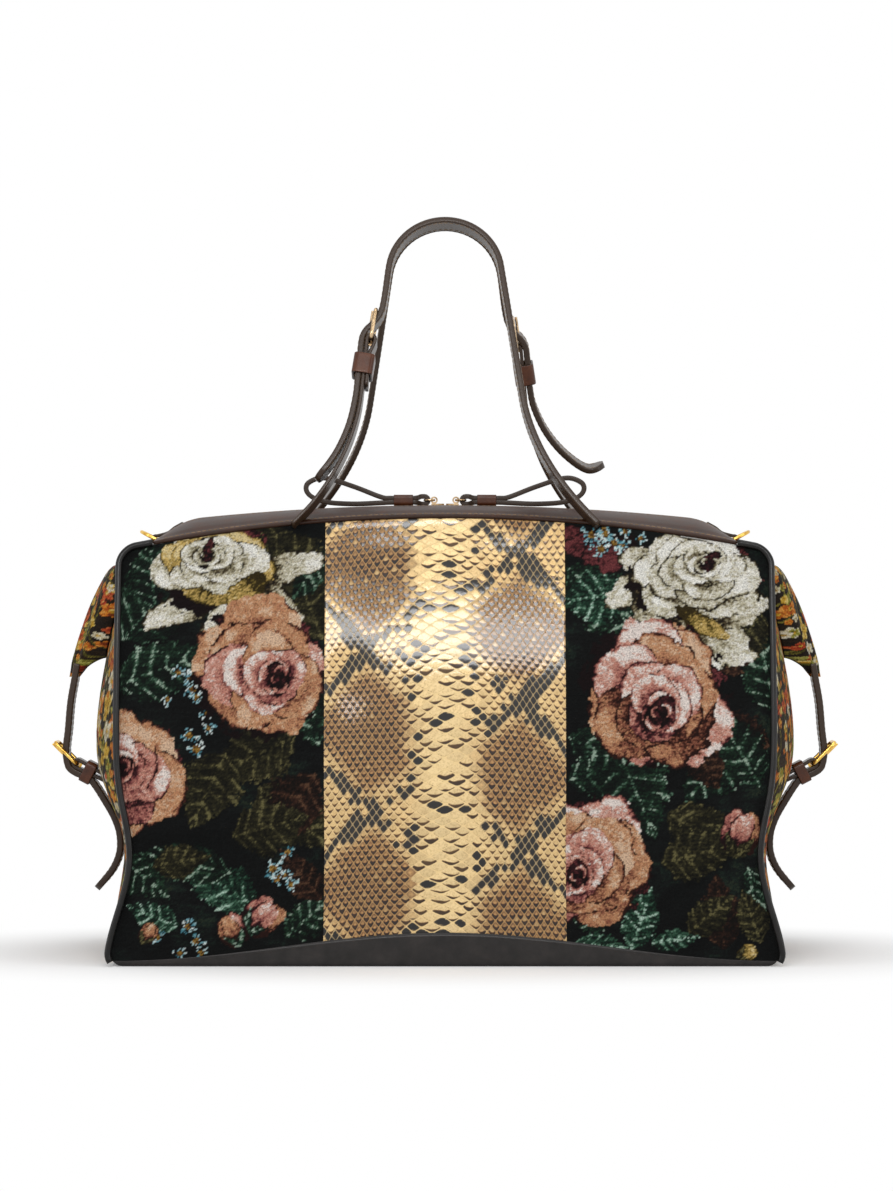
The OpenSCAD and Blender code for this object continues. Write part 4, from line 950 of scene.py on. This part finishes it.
def gussets():
    # the swollen end between its two edges, with folds and slack that are eased out to the seams
    path = edgePath(168, 14, 5)
    v, run = np.linspace(1, -1, 140)[None], runOf(path)[:, None]
    x = path[:, 0:1] + gussetSwell(path[:, 2:3]) * (1 - v ** 2)
    y = v * (path[:, 1:2] - bag["wall"] - bag["plyGap"])
    z = np.broadcast_to(path[:, 2:3], x.shape)
    cloth = floralCloth(y, np.broadcast_to(run, y.shape), 3.0)
    far = np.abs(v)
    away = ease(0.16, 0.4, far) * ease(1, 0.9, far) * ease(0, 18, run) * ease(run[-1], run[-1] - 25, run)
    folds = 1.6 * np.cos(3.2 * np.pi * v + 0.3 * np.sin(z / 30)) * np.exp(-(((z - 84) / 46) ** 2))
    slack = 1.2 * (cloud(y, z, 26, 6) - 0.5)
    x = x + away * (folds + slack) + 0.3 * cloth["lift"] * ease(1, 0.96, far)
    made = sheetGrid(np.stack([-x, y, z], -1), (bag["wall"], 0, 0))
    pieces = twins(ends, "_floral_gusset", made, "floral", "_gusset", tints={"yarn": padded(cloth["tint"])})


ear = {"topZ": 242.0, "tipZ": 172.0, "rootHalf": 44.0, "tipHalf": 9.0, "lift": 20.0, "raised": 0.72}


def ears():
    # a folded flap: its swell grows from the corner and its underside leaves the gusset towards the tip
    q = np.linspace(1, 0, 80)[:, None] ** 1.15
    v = np.cos(np.linspace(0, np.pi, 86))[None]
    z = ear["topZ"] + (ear["tipZ"] - ear["topZ"]) * q * (1 - 0.17 * np.abs(v) ** 1.3 * q ** 3)
    y = v * (ear["rootHalf"] + (ear["tipHalf"] - ear["rootHalf"]) * q ** 1.15)
    seat = gussetX(y / depthY(1.0, z), np.minimum(z, upperZ(1.0))) + 3 * bag["plyGap"]
    puff = ear["lift"] * q ** 0.2 * (1 - v * v) ** 0.6
    pleat = 1.5 * ease(0.05, 0.4, q) * ease(1.0, 0.85, q) * (np.cos(2.6 * np.pi * v) - 0.4) * (1 - v * v)
    cloth = floralCloth(y * 1.1 + 40, z * 1.1, 5.0)
    over = seat + 0.8 + puff + pleat + 0.25 * cloth["lift"] * (1 - v * v)
    under = seat + ear["raised"] * np.maximum(0, 2 * q - 1) ** 1.5 * puff
    rows, cols = over.shape
    points = np.concatenate([np.stack([-x, y, z], -1) for x in (over, under)]).reshape(-1, 3)
    index = np.arange(rows * cols).reshape(rows, cols)
    edges = [index[0], index[-1], index[:, 0], index[:, -1]]
    rim = [np.stack([e[:-1], e[1:], e[1:] + rows * cols, e[:-1] + rows * cols], 1) for e in edges]
    layer = gridQuads(rows, cols)
    faces = np.vstack([layer, layer + rows * cols] + rim).tolist()
    # painted shade: the underside takes the same yarns darkened to 0.6
    tint = np.concatenate([cloth["tint"], cloth["tint"] * 0.6])
    made = points, faces
    for piece in twins(ends, "_folded_ear", made, "floral", "_ear", tints={"yarn": tint}, closed=True):
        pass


gussets()
ears()
print("gussets and ears laid")


def pipedEdges():
    # a round cord along each upright edge, set off outwards and forwards from the seam
    radius = 2.0
    path = edgePath(150, 18, 5)
    run = directions(path, False)
    out = unitRows(np.stack([run[:, 2], 0 * run[:, 0], -run[:, 0]], 1))
    off = radius * 0.71 + bag["plyGap"]
    line = path + off * out
    line[:, 1] = -path[:, 1] - off
    for side, names in corners.items():
        cord = roundTube(line * np.array([side, 1, 1]), radius, 14)
        twins(names, "_welt", cord, "black", "_piping", closed=True)


def basePanel():
    # cross-section from the front seam, round the lower edge and under to the back seam, along s
    bend = -1 + (1 - cornerS) * (1 - np.cos(np.linspace(0, np.pi / 2, 8)))[:-1]
    s = np.concatenate([bend, np.linspace(-cornerS, cornerS, 200), -bend[::-1]])
    zl = lowerZ(s)
    y0, r = depthY(s, 0 * s), bag["baseEdge"]
    rise = np.linspace(1, 0, 8)[:, None]
    zs = [r + (zl - r)[None] * rise]
    ys = [depthY(s[None], zs[0])]
    angle = np.linspace(0, np.pi / 2, 7)[1:, None]
    zs.append(r * (1 - np.sin(angle)) + 0 * s[None])
    ys.append(y0[None] - r * (1 - np.cos(angle)))
    across = np.linspace(1, 0, 14)[1:, None]
    zs.append(0 * across + 0 * s[None])
    ys.append((y0 - r)[None] * across)
    z, y = np.vstack(zs), np.vstack(ys)
    z, y = np.vstack([z, z[-2::-1]]), np.vstack([-y, y[-2::-1]])
    x = sideX(s[None], z)
    points = np.stack([x, y, z], -1)
    wide = np.pad(points, ((1, 1), (1, 1), (0, 0)), mode="edge")
    wide[0] += (0, bag["wall"], 0)
    wide[-1] -= (0, bag["wall"], 0)
    for end in (0, -1):
        x, y, z = wide[:, end].T
        wide[:, end] = np.stack([x, y * 0.985, np.maximum(z, bag["lip"])], 1)
    made = wide, gridQuads(*wide.shape[:2])
    makePiece("base_leather", made, "baseLeather", stands=["base_panel"], inside=(0, 0, 40))
    seam, low = [], zl - 2.2
    for side in (-1, 1):
        line = np.stack([sideX(s, low), side * depthY(s, low), np.maximum(low, 1.6)], 1)
        line = evenly(line, 1.5)[4:-4]
        seam.append(stitches(line, (0, 0, 1), 0.0, -0.15 * side, *stitchForm["base"]))
    makePiece("base_stitching", joined(seam), "darkThread", closed=True)


arcZ = zipForm["crestZ"] - zipForm["arcR"]
endA = math.asin(zipForm["half"] / zipForm["arcR"])
endX = zipForm["half"] - zipForm["endR"] * math.sin(endA)
endZ = arcZ + (zipForm["arcR"] - zipForm["endR"]) * math.cos(endA)


def crest(x):  # height of the zip: one long arc that drops in a short one at each end
    long = arcZ + np.sqrt(zipForm["arcR"] ** 2 - x * x)
    short = endZ + np.sqrt(np.maximum(0, zipForm["endR"] ** 2 - np.maximum(0, np.abs(x) - endX) ** 2))
    return np.where(np.abs(x) <= zipForm["half"], long, short)


def bandPoint(s, w):  # w is 0 at the seam and 1 at the zip
    z = upperZ(s)
    x = sideX(s, z)
    y = depthY(s, z) + (zipForm["tapeHalf"] + bag["plyGap"] - depthY(s, z)) * w
    top = z + bag["plyGap"] + (crest(x) - zipForm["bandT"] / 2 - z - bag["plyGap"]) * w
    return np.stack(np.broadcast_arrays(x, -y, top + zipForm["bandSwell"] * np.sin(np.pi * w)), -1)


def topBands():
    # a flat tube: the band's upper face with a pressed groove, its two edges and its lower face
    s = np.linspace(-1, 1, 260)[:, None] * zipForm["bandHalf"] / bag["halfW"]
    w = np.linspace(0, 1, 16)[None]
    under = bandPoint(s, w)
    over = under + (0, 0, zipForm["bandT"])
    ridge = 0.5 * np.exp(-(((w - 0.16) / 0.05) ** 2))[..., None] * np.array([0, 0, -1.0])
    over = over + ridge
    front = under[:, :1] + (0, -0.7, zipForm["bandT"] / 2)
    back = under[:, -1:] + (0, 0.15, zipForm["bandT"] / 2)
    rings = np.concatenate([front, over, back, under[:, ::-1]], 1)
    n, k = rings.shape[:2]
    paint = np.zeros((n, k))
    paint[:, [0, 17]] = 1
    seam = []
    for w0 in (0.09, 0.9):
        line = evenly(bandPoint(s[3:-3, 0], w0 + 0 * s[3:-3, 0]) + (0, 0, zipForm["bandT"]), 1.5)
        seam.append(stitches(line, (0, 1, 0), 0.0, 0.08, *stitchForm["band"]))
    made = rings.reshape(-1, 3), tubeFaces(n, k), paint.ravel()
    twins(fronts, "_band_leather", made, "band", "_top_band", closed=True)
    twins(fronts, "_band_stitching", joined(seam), "thread", closed=True)


pipedEdges()
basePanel()
topBands()
print("piping, base and top bands laid")

strap = {
    "clear": 0.35, "ply": 0.2, "wire": 1.2, "buckleL": 18.6, "chapeT": 2.2, "keeperT": 1.6, "keeperL": 13.0,
    "sideW": 14.0, "sideT": 3.0, "handleW": 16.0, "handleT": 3.6, "rise": 172.0, "span": 151.0,
    "splay": 18.0, "archR": 35.0, "buckleS": 110.0, "keeperS": 84.0, "pivotY": 53.0, "pivotZ": 282.412,
    "rootS": -23.0,
}
chapeR = strap["wire"] + strap["ply"] + strap["chapeT"] / 2


def roundedLoop(halfA, halfB, corner):  # a rounded rectangle as a closed path of pairs
    parts = []
    for k, (a, b) in enumerate([(1, 1), (-1, 1), (-1, -1), (1, -1)]):
        angle = np.linspace(0, np.pi / 2, 7) + k * np.pi / 2
        ab = [a * (halfA - corner) + corner * np.cos(angle), b * (halfB - corner) + corner * np.sin(angle)]
        parts.append(np.stack(ab, 1))
    loop = np.vstack(parts)
    return evenly(np.vstack([loop, loop[:1]]), 0.8)[:-1]


# handles: u across, v up the leaning plane from the pivot line, s along the buckled leg, n out of it
kneeU = strap["span"] / 2 - strap["splay"]
apexY = strap["handleW"] / 2 + 1.8
lean = math.atan((strap["pivotY"] - apexY) / strap["rise"])
archV = strap["rise"] / math.cos(lean) - strap["archR"]
touchA = math.atan2(-archV, kneeU) + math.acos(strap["archR"] / math.hypot(kneeU, archV))
touchU, touchV = strap["archR"] * math.cos(touchA), archV + strap["archR"] * math.sin(touchA)
legL = math.hypot(kneeU - touchU, touchV)
legU, legV = (kneeU - touchU) / legL, touchV / legL
frameN = strap["handleT"] / 2 + strap["wire"] + 2 * strap["ply"]
heelS = strap["buckleS"] - strap["buckleL"] / 2
chapeN = frameN + chapeR
splayS = strap["keeperS"] - strap["keeperL"] - 5


def leg(s, n):  # a place on the buckled leg as a pair in the handle's plane
    return [-kneeU + s * legU - n * legV, s * legV + n * legU]


def splay(s):  # the feet spread by a square below the keeper
    return strap["splay"] * max(0, 1 - s / splayS) ** 2


def chapeOff(s):  # the chape leaves the leg in step with s and follows the spread feet
    return chapeN * max(s, -9) / heelS + splay(s)


def tailOff(s):  # clear of the ply below, more where the leg slopes
    slope = 2 * strap["splay"] / splayS * max(0, 1 - s / splayS)
    apart = strap["chapeT"] / 2 + strap["ply"] + strap["handleT"] / 2 + 0.1
    return chapeOff(s) + apart * math.hypot(1, slope)


def leaning(flat):  # the handle's own plane to its place over the bag
    flat = np.asarray(flat, float)
    y, z = -strap["pivotY"] + flat[:, 1] * math.sin(lean), strap["pivotZ"] + flat[:, 1] * math.cos(lean)
    return np.stack([flat[:, 0], y, z], 1)


handleSide = np.array([0, math.cos(lean), -math.sin(lean)])


def handle(name, curl, flip):
    # far leg, arch and buckled leg in one line; the tail leaves the leg more where it is curled
    body = name + "_handle"
    lay = lambda made: (flip(made[0]), *made[1:])
    far = [[-p[0], p[1]] for p in (leg(s, splay(s)) for s in np.linspace(strap["rootS"], splayS, 40))]
    angle = np.linspace(touchA, np.pi - touchA, 60)
    arch = np.stack([strap["archR"] * np.cos(angle), archV + strap["archR"] * np.sin(angle)], 1)
    blend = lambda low, high: low + (high - low) * curl
    tail = lambda s, low, high: leg(s, tailOff(s) + blend(low, high))
    down = catmull([
        leg(legL - 4, 0), leg(strap["buckleS"] + 11.2, -0.15), leg(heelS + 10.2, frameN + 0.5),
        leg(heelS + 5.2, frameN + 4), leg(heelS - 1.5, tailOff(heelS)), tail(strap["keeperS"], 0, 0),
        tail(74, 0, 0.2), tail(62, 0.1, 1.6), tail(45, 0.4, 6), tail(29, 1.2, 12.5), tail(17, 2.6, 21.5),
        leg(blend(8, 18), blend(tailOff(8) + 4.5, 47))], 14)
    path = leaning(evenly(np.vstack([far, arch, down]), 1.6))
    widths = tipWidths(path, strap["handleW"], 9.0)
    made = lay(sweep(path, handleSide, strap["handleW"], strap["handleT"], 0.9, widths=widths))
    main = makePiece(name + "_strap", made, "strap", None, [body + "_strap", body + "_roots"], closed=True)
    keep = (path[:, 2] > strap["pivotZ"] + 14) | (np.arange(len(path)) > len(path) / 2)
    edge, face = strap["handleW"] / 2 - 2.0, strap["handleT"] / 2 - 0.05
    seams = fourSeams(path[keep][:-3], handleSide, edge, face, stitchForm["handle"])
    makePiece(name + "_strap_stitching", lay(seams), "thread", body, closed=True)
    turn = np.linspace(np.pi, 0, 16)
    fold = [leg(heelS + chapeR * math.sin(a), frameN + chapeR * math.cos(a)) for a in turn]
    plyEnd, plyFrom = strap["keeperS"] - strap["keeperL"], strap["keeperS"] + strap["keeperL"] / 2 + 1
    inner = [leg(s, chapeOff(s) - strap["chapeT"] - strap["ply"]) for s in (plyEnd, plyFrom)]
    outer = [leg(s, chapeOff(s)) for s in np.linspace(strap["keeperS"], strap["rootS"], 50)]
    plies = leaning(evenly(inner + [leg(heelS - 2, frameN - chapeR)] + fold + outer, 1.6))
    made = lay(sweep(plies, handleSide, strap["handleW"], strap["chapeT"], 0.7))
    chape = makePiece(name + "_buckle_fold", made, "strap", None, [body + "_chape"], closed=True)
    for piece in (main, chape):
        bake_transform(piece)
    low = chapeOff(strap["keeperS"]) - 1.5 * strap["chapeT"] - 4 * strap["ply"]
    high = tailOff(strap["keeperS"]) + strap["handleT"] / 2 + 3 * strap["ply"]
    halfB = (strap["handleW"] + 2 * strap["ply"] + strap["keeperT"]) / 2
    loop = roundedLoop((high - low + strap["keeperT"]) / 2, halfB, 2.4)
    centre = leaning([leg(strap["keeperS"], (low + high) / 2)])[0]
    outward = leaning([leg(0, 1)])[0] - leaning([leg(0, 0)])[0]
    ahead = leaning([leg(1, 0)])[0] - leaning([leg(0, 0)])[0]
    ring = centre + loop[:, :1] * outward + loop[:, 1:] * handleSide
    made = lay(sweep(ring, ahead, strap["keeperL"], strap["keeperT"], 0.6, closed=True))
    makePiece(name + "_keeper_loop", made, "keeper", body, [body + "_keeper"], closed=True)


handle("front", 0.0, lambda p: p)
handle("back", 1.0, turned)
print("handles laid")

# side straps, in the XZ plane at the left end
sideForm = {"tilt": 45.0, "barZ": 118.0, "barOff": 13.5, "keeperL": 7.0}


def sideStraps():
    # from the ear's tip over the buckle's bar, under its chape, through the keeper and down the gusset
    tilt = math.radians(sideForm["tilt"])
    axis = np.array([-math.sin(tilt), math.cos(tilt)])
    bar = np.array([-(float(gussetX(0.0, sideForm["barZ"])) + sideForm["barOff"]), sideForm["barZ"]])
    middle = bar + axis * strap["buckleL"] / 2
    seat = np.array([-(float(gussetX(0.0, bar[1] - 8)) + strap["ply"]), bar[1] - 8])
    ahead = (seat - bar) / np.linalg.norm(seat - bar)
    out = np.array([-ahead[1], ahead[0]])
    hug = strap["sideT"] / 2 + 4 * strap["ply"]
    across = (0, 1, 0)
    near = lambda z, off: np.array([-(float(gussetX(0.0, z)) + hug + off), z])
    tip = np.array([-(float(gussetX(0.0, ear["tipZ"])) + ear["lift"] * 0.88), ear["tipZ"] - 3 * strap["ply"]])
    keeperMid = seat - ahead * 8.5
    under = out * -(chapeR + strap["chapeT"] / 2 + strap["sideT"] / 2 + strap["ply"])
    away = 1.08 * np.linalg.norm(under) * np.array([math.cos(math.radians(192)), math.sin(math.radians(192))])
    slip = 0.6 * sideForm["keeperL"] * ahead
    rest = ((26, 1.8), (17, 1), (8, 0.9), (-3, 1.7), (-14, 5), (-26, 13))
    route = catmull([
        tip + (1.5, 9), tip, tip + (-2.6, -15), middle + (1, 15), middle + (-0.4, 1.5), bar + away,
        bar + under, keeperMid + under - slip, keeperMid + under + slip,
        *[near(bag["waistZ"] + rise, off) for rise, off in rest]], 12)
    path = inPlane(evenly(route, 1.2))
    widths = tipWidths(path, strap["sideW"], 8.0)
    main = sweep(path, across, strap["sideW"], strap["sideT"] + 1.0, 0.8, widths=widths)
    edge, face = strap["sideW"] / 2 - 1.9, strap["sideT"] / 2 + 0.45
    seams = fourSeams(path[3:-4], across, edge, face, stitchForm["end"])
    turn = math.atan2(ahead[1], ahead[0])
    angle = np.linspace(turn + np.pi / 2, turn + 1.5 * np.pi, 14)
    plies = [seat + 6 * ahead + k * (strap["chapeT"] / 2 + strap["ply"]) * out for k in (-1, 1)]
    loop = np.vstack([plies[1:], bar + chapeR * np.stack([np.cos(angle), np.sin(angle)], 1), plies[:1]])
    fold = sweep(inPlane(evenly(loop, 1.0)), across, strap["sideW"] - 1, strap["chapeT"], 0.6)
    tall = 2 * chapeR + strap["chapeT"] + strap["sideT"] + 3 * strap["ply"]
    halfB = (strap["sideW"] + 2 * strap["ply"] + strap["keeperT"]) / 2
    loop = roundedLoop((tall + strap["keeperT"]) / 2, halfB, 2.0)
    centre = keeperMid - out * (strap["sideT"] + strap["ply"]) / 2
    ring = np.stack([centre[0] + loop[:, 0] * out[0], loop[:, 1], centre[1] + loop[:, 0] * out[1]], 1)
    keeper = sweep(ring, (ahead[0], 0, ahead[1]), sideForm["keeperL"], strap["keeperT"], 0.6, closed=True)
    twins(ends, "_end_strap", main, "strap", "_side_strap", closed=True)
    twins(ends, "_end_stitching", seams, "thread", closed=True)
    twins(ends, "_end_buckle_fold", fold, "strap", "_side_chape", closed=True)
    twins(ends, "_end_keeper_loop", keeper, "keeper", "_side_keeper", closed=True)


pullForm = {
    "ringR": 3.0, "wire": 0.7, "long": 74.0, "wide": 7.0, "thick": 2.2, "loopH": 14.0, "neck": 3.0,
    "bandL": 12.0, "bandT": 0.8, "sliderX": 4.6, "eyeX": -2.2, "eyeZ": 4.5,
}


def pulls():
    # one closed loop of leather: tight round the ring, flat in its band, then open like a drop
    f = pullForm
    tilt = math.asin(-f["sliderX"] / zipForm["arcR"])
    foldR, ply = f["wire"] + 0.55 + f["thick"] / 2, f["thick"] / 2 + strap["ply"]
    start = -2 * f["ringR"]
    px = lambda t: start - t * f["long"]
    angle = np.linspace(-np.pi / 2, np.pi / 2, 12)
    round1 = np.stack([start + foldR * np.cos(angle), foldR * np.sin(angle)], 1)
    tall, thick = f["loopH"], f["thick"]
    line = catmull([(px(t), height) for t, height in (
        (0.03, foldR), (0.085, ply), (0.28, ply), (0.37, ply + 0.8), (0.6, tall * 0.62), (0.84, tall),
        (0.97, tall * 0.83), (1, tall * 0.5), (0.95, tall * 0.16), (0.82, -thick / 2), (0.6, -thick),
        (0.37, -ply - 0.3), (0.28, -ply), (0.085, -ply), (0.03, -foldR))], 10)
    loop = np.vstack([round1, line])
    loop = evenly(np.vstack([loop, loop[:1]]), 0.9)[:-1]

    def atPull(flat):  # the ring's eye on the slider, turned with the zip's arc
        x, z = f["eyeX"] + flat[:, 0], zipForm["arcR"] + f["eyeZ"] + flat[:, 1]
        away = x * math.cos(tilt) + z * math.sin(tilt)
        return np.stack([away, 0 * x, arcZ - x * math.sin(tilt) + z * math.cos(tilt)], 1)

    neck = ease(px(0.0) - 1.5, px(0.06) - 1.0, loop[:, 0])
    widths = f["neck"] + (f["wide"] - f["neck"]) * neck
    pull = sweep(atPull(loop), (0, 1, 0), f["wide"], f["thick"] + 0.8, 0.5, closed=True, widths=widths)
    high = ply + f["thick"] / 2 + strap["ply"] + 0.4
    ring2 = roundedLoop(high, f["wide"] / 2 + strap["ply"] + 0.4, 0.9)
    middle = atPull(np.array([[start - 13.2, 0.0]]))[0]
    up = np.array([math.sin(tilt), 0, math.cos(tilt)])
    ahead = np.array([math.cos(tilt), 0, -math.sin(tilt)])
    ring = middle + ring2[:, :1] * up + ring2[:, 1:] * np.array([0, 1.0, 0])
    band = sweep(ring, ahead, f["bandL"], f["bandT"], 0.3, closed=True)
    twins(ends, "_pull_leather", pull, "strap", "_pull", "_pull", closed=True)
    twins(ends, "_pull_loop", band, "keeper", "_pull_band", "_pull", closed=True)


tabForm = {"thick": 1.8, "wide": 12.0, "wire": 1.1, "barX": -180.2, "folds": (75, 260)}


def ringTabs():
    # a tab that lies on the band's end arc and folds round the bar of the D-ring
    thick, wire = tabForm["thick"], tabForm["wire"]
    endTop = float(crest(np.array(zipForm["bandHalf"])))
    bar = np.array([tabForm["barX"], endTop + thick + wire + strap["clear"]])
    tabR = wire + strap["clear"] + thick / 2
    lieR = zipForm["endR"] + thick / 2 + 2 * strap["ply"]
    lie = []
    for back in (15.0, 10.0, 6.0):
        a = np.pi / 2 + math.asin((zipForm["bandHalf"] - back - endX) / zipForm["endR"])
        lie.append(np.array([-endX, endZ]) + lieR * np.array([math.cos(a), math.sin(a)]))
    angle = np.radians(np.linspace(*tabForm["folds"], 16))
    fold = bar + tabR * np.stack([np.cos(angle), np.sin(angle)], 1)
    path = evenly(np.vstack([catmull([*lie, fold[0]], 6)[:-1], fold]), 0.8)
    made = sweep(inPlane(path), (0, 1, 0), tabForm["wide"], thick, 0.5)
    twins(ends, "_tab_leather", made, "strap", "_ring_tab", closed=True)


sideStraps()
pulls()
ringTabs()
print("end straps, pulls and tabs laid")


def zipEnds():  # a piece of tape under each end of the zip closes the slit past the last tooth
    x = np.linspace(146, 175, 24)
    made = sweep(np.stack([-x, 0 * x, crest(x) - 2.0], 1), (0, 1, 0), 12.0, 0.8, 0.3)
    twins(ends, "_zip_end", made, "tape", closed=True)


zipEnds()
for name, piece in nodes.items():
    if piece.hide_render:
        continue
    warm = any(word in name for word in ("d_ring", "side_buckle", "side_prong"))
    look = "tape" if "zip_tape" in name else "gold" if warm else "paleGold"
    piece.data.materials.clear()
    piece.data.materials.append(finishes[look])
print("metal and zip finished:", sorted(n for n, o in nodes.items() if not o.hide_render))

# stage: a pale floor, soft lamps and the camera square to the front
photo = {
    "wide": 893, "high": 1191, "mmPerPixel": 0.6, "middleX": 445.0, "floorY": 967.0,
    "away": 2200.0, "plane": -92.0, "sensor": 36.0,
}
lamps = [  # name, place, aim, size and power
    ("softbox", (-0.15, -2.0, 1.12), (0, -0.08, 0.2), (1.5, 0.26), 22.0),
    ("overhead", (0.1, -0.3, 2.0), (0, 0, 0.2), (1.6, 1.2), 12.0),
    ("leftFill", (-1.9, -0.9, 0.7), (0, 0, 0.15), (0.7, 1.1), 6.0),
    ("rightFill", (1.9, -0.9, 0.7), (0, 0, 0.15), (0.7, 1.1), 6.0),
]


def seenRays(tree):  # 1 for rays of the camera, of reflections and of glass, otherwise 0
    ray = put(tree, "LightPath").outputs
    other = math2(tree, "MAXIMUM", ray["Is Glossy Ray"], ray["Is Transmission Ray"])
    return math2(tree, "MAXIMUM", ray["Is Camera Ray"], other)


def addObject(name, data):
    added = bpy.data.objects.new(name, data)
    bpy.context.scene.collection.objects.link(added)
    return added


def paleFloor(reach):  # takes the bag's shadow and fades to plain white over an oval
    mesh = bpy.data.meshes.new("floor")
    square = [(-reach, -reach, 0), (reach, -reach, 0), (reach, reach, 0), (-reach, reach, 0)]
    mesh.from_pydata(square, [], [(0, 1, 2, 3)])
    floor = addObject("floor", mesh)
    finish, tree, shader = startFinish("pale_floor", 0.9)
    shader.inputs["Base Color"].default_value = (0.97, 0.97, 0.97, 1)
    place = put(tree, "TexCoord").outputs["Object"]
    oval = put(tree, "Mapping", {"Vector": place, "Scale": (4.1, 7.5, 0.0)}).outputs[0]
    far = put(tree, "VectorMath", {0: oval}, operation="LENGTH").outputs["Value"]
    white = put(tree, "Emission", {"Color": (1, 1, 1, 1), "Strength": 1.0})
    share = math2(tree, "MULTIPLY", seenRays(tree), smoothRange(tree, far, 0.8, 1.7))
    both = put(tree, "MixShader", {0: share, 1: shader.outputs[0], 2: white.outputs[0]})
    tree.links.new(both.outputs[0], tree.nodes["Material Output"].inputs["Surface"])
    mesh.materials.append(finish)


def studioLight():  # a white world, dimmer where it only lights, and four soft lamps
    world = bpy.data.worlds.new("studio")
    bpy.context.scene.world = world
    world.use_nodes = True
    tree = world.node_tree
    back = tree.nodes["Background"]
    back.inputs["Color"].default_value = (1, 1, 1, 1)
    strength = put(tree, "MapRange", {"Value": seenRays(tree), 3: 0.3, 4: 1.0}).outputs[0]
    tree.links.new(strength, back.inputs["Strength"])
    for name, place, aim, size, power in lamps:
        lamp = bpy.data.lights.new(name, "AREA")
        lamp.shape, lamp.size, lamp.size_y, lamp.energy = "RECTANGLE", size[0], size[1], power
        held = addObject(name, lamp)
        held.location = place
        held.rotation_mode = "QUATERNION"
        held.rotation_quaternion = Vector(np.array(aim) - np.array(place)).to_track_quat("-Z", "Y")


def photoCamera():  # square to the front, its frame the photo's pixels in the front's plane
    camera = addObject("camera", bpy.data.cameras.new("camera"))
    scale = photo["mmPerPixel"]
    camera.data.sensor_width = photo["sensor"]
    camera.data.lens = photo["sensor"] * photo["away"] / (photo["high"] * scale)
    camera.data.clip_end = 50
    camera.location = (
        (photo["wide"] / 2 - photo["middleX"]) * scale * mm,
        (photo["plane"] - photo["away"]) * mm,
        (photo["floorY"] - photo["high"] / 2) * scale * mm)
    camera.rotation_euler = (math.pi / 2, 0, 0)
    bpy.context.scene.camera = camera
    bpy.context.scene.view_settings.view_transform = "Standard"


paleFloor(6.0)
studioLight()
photoCamera()
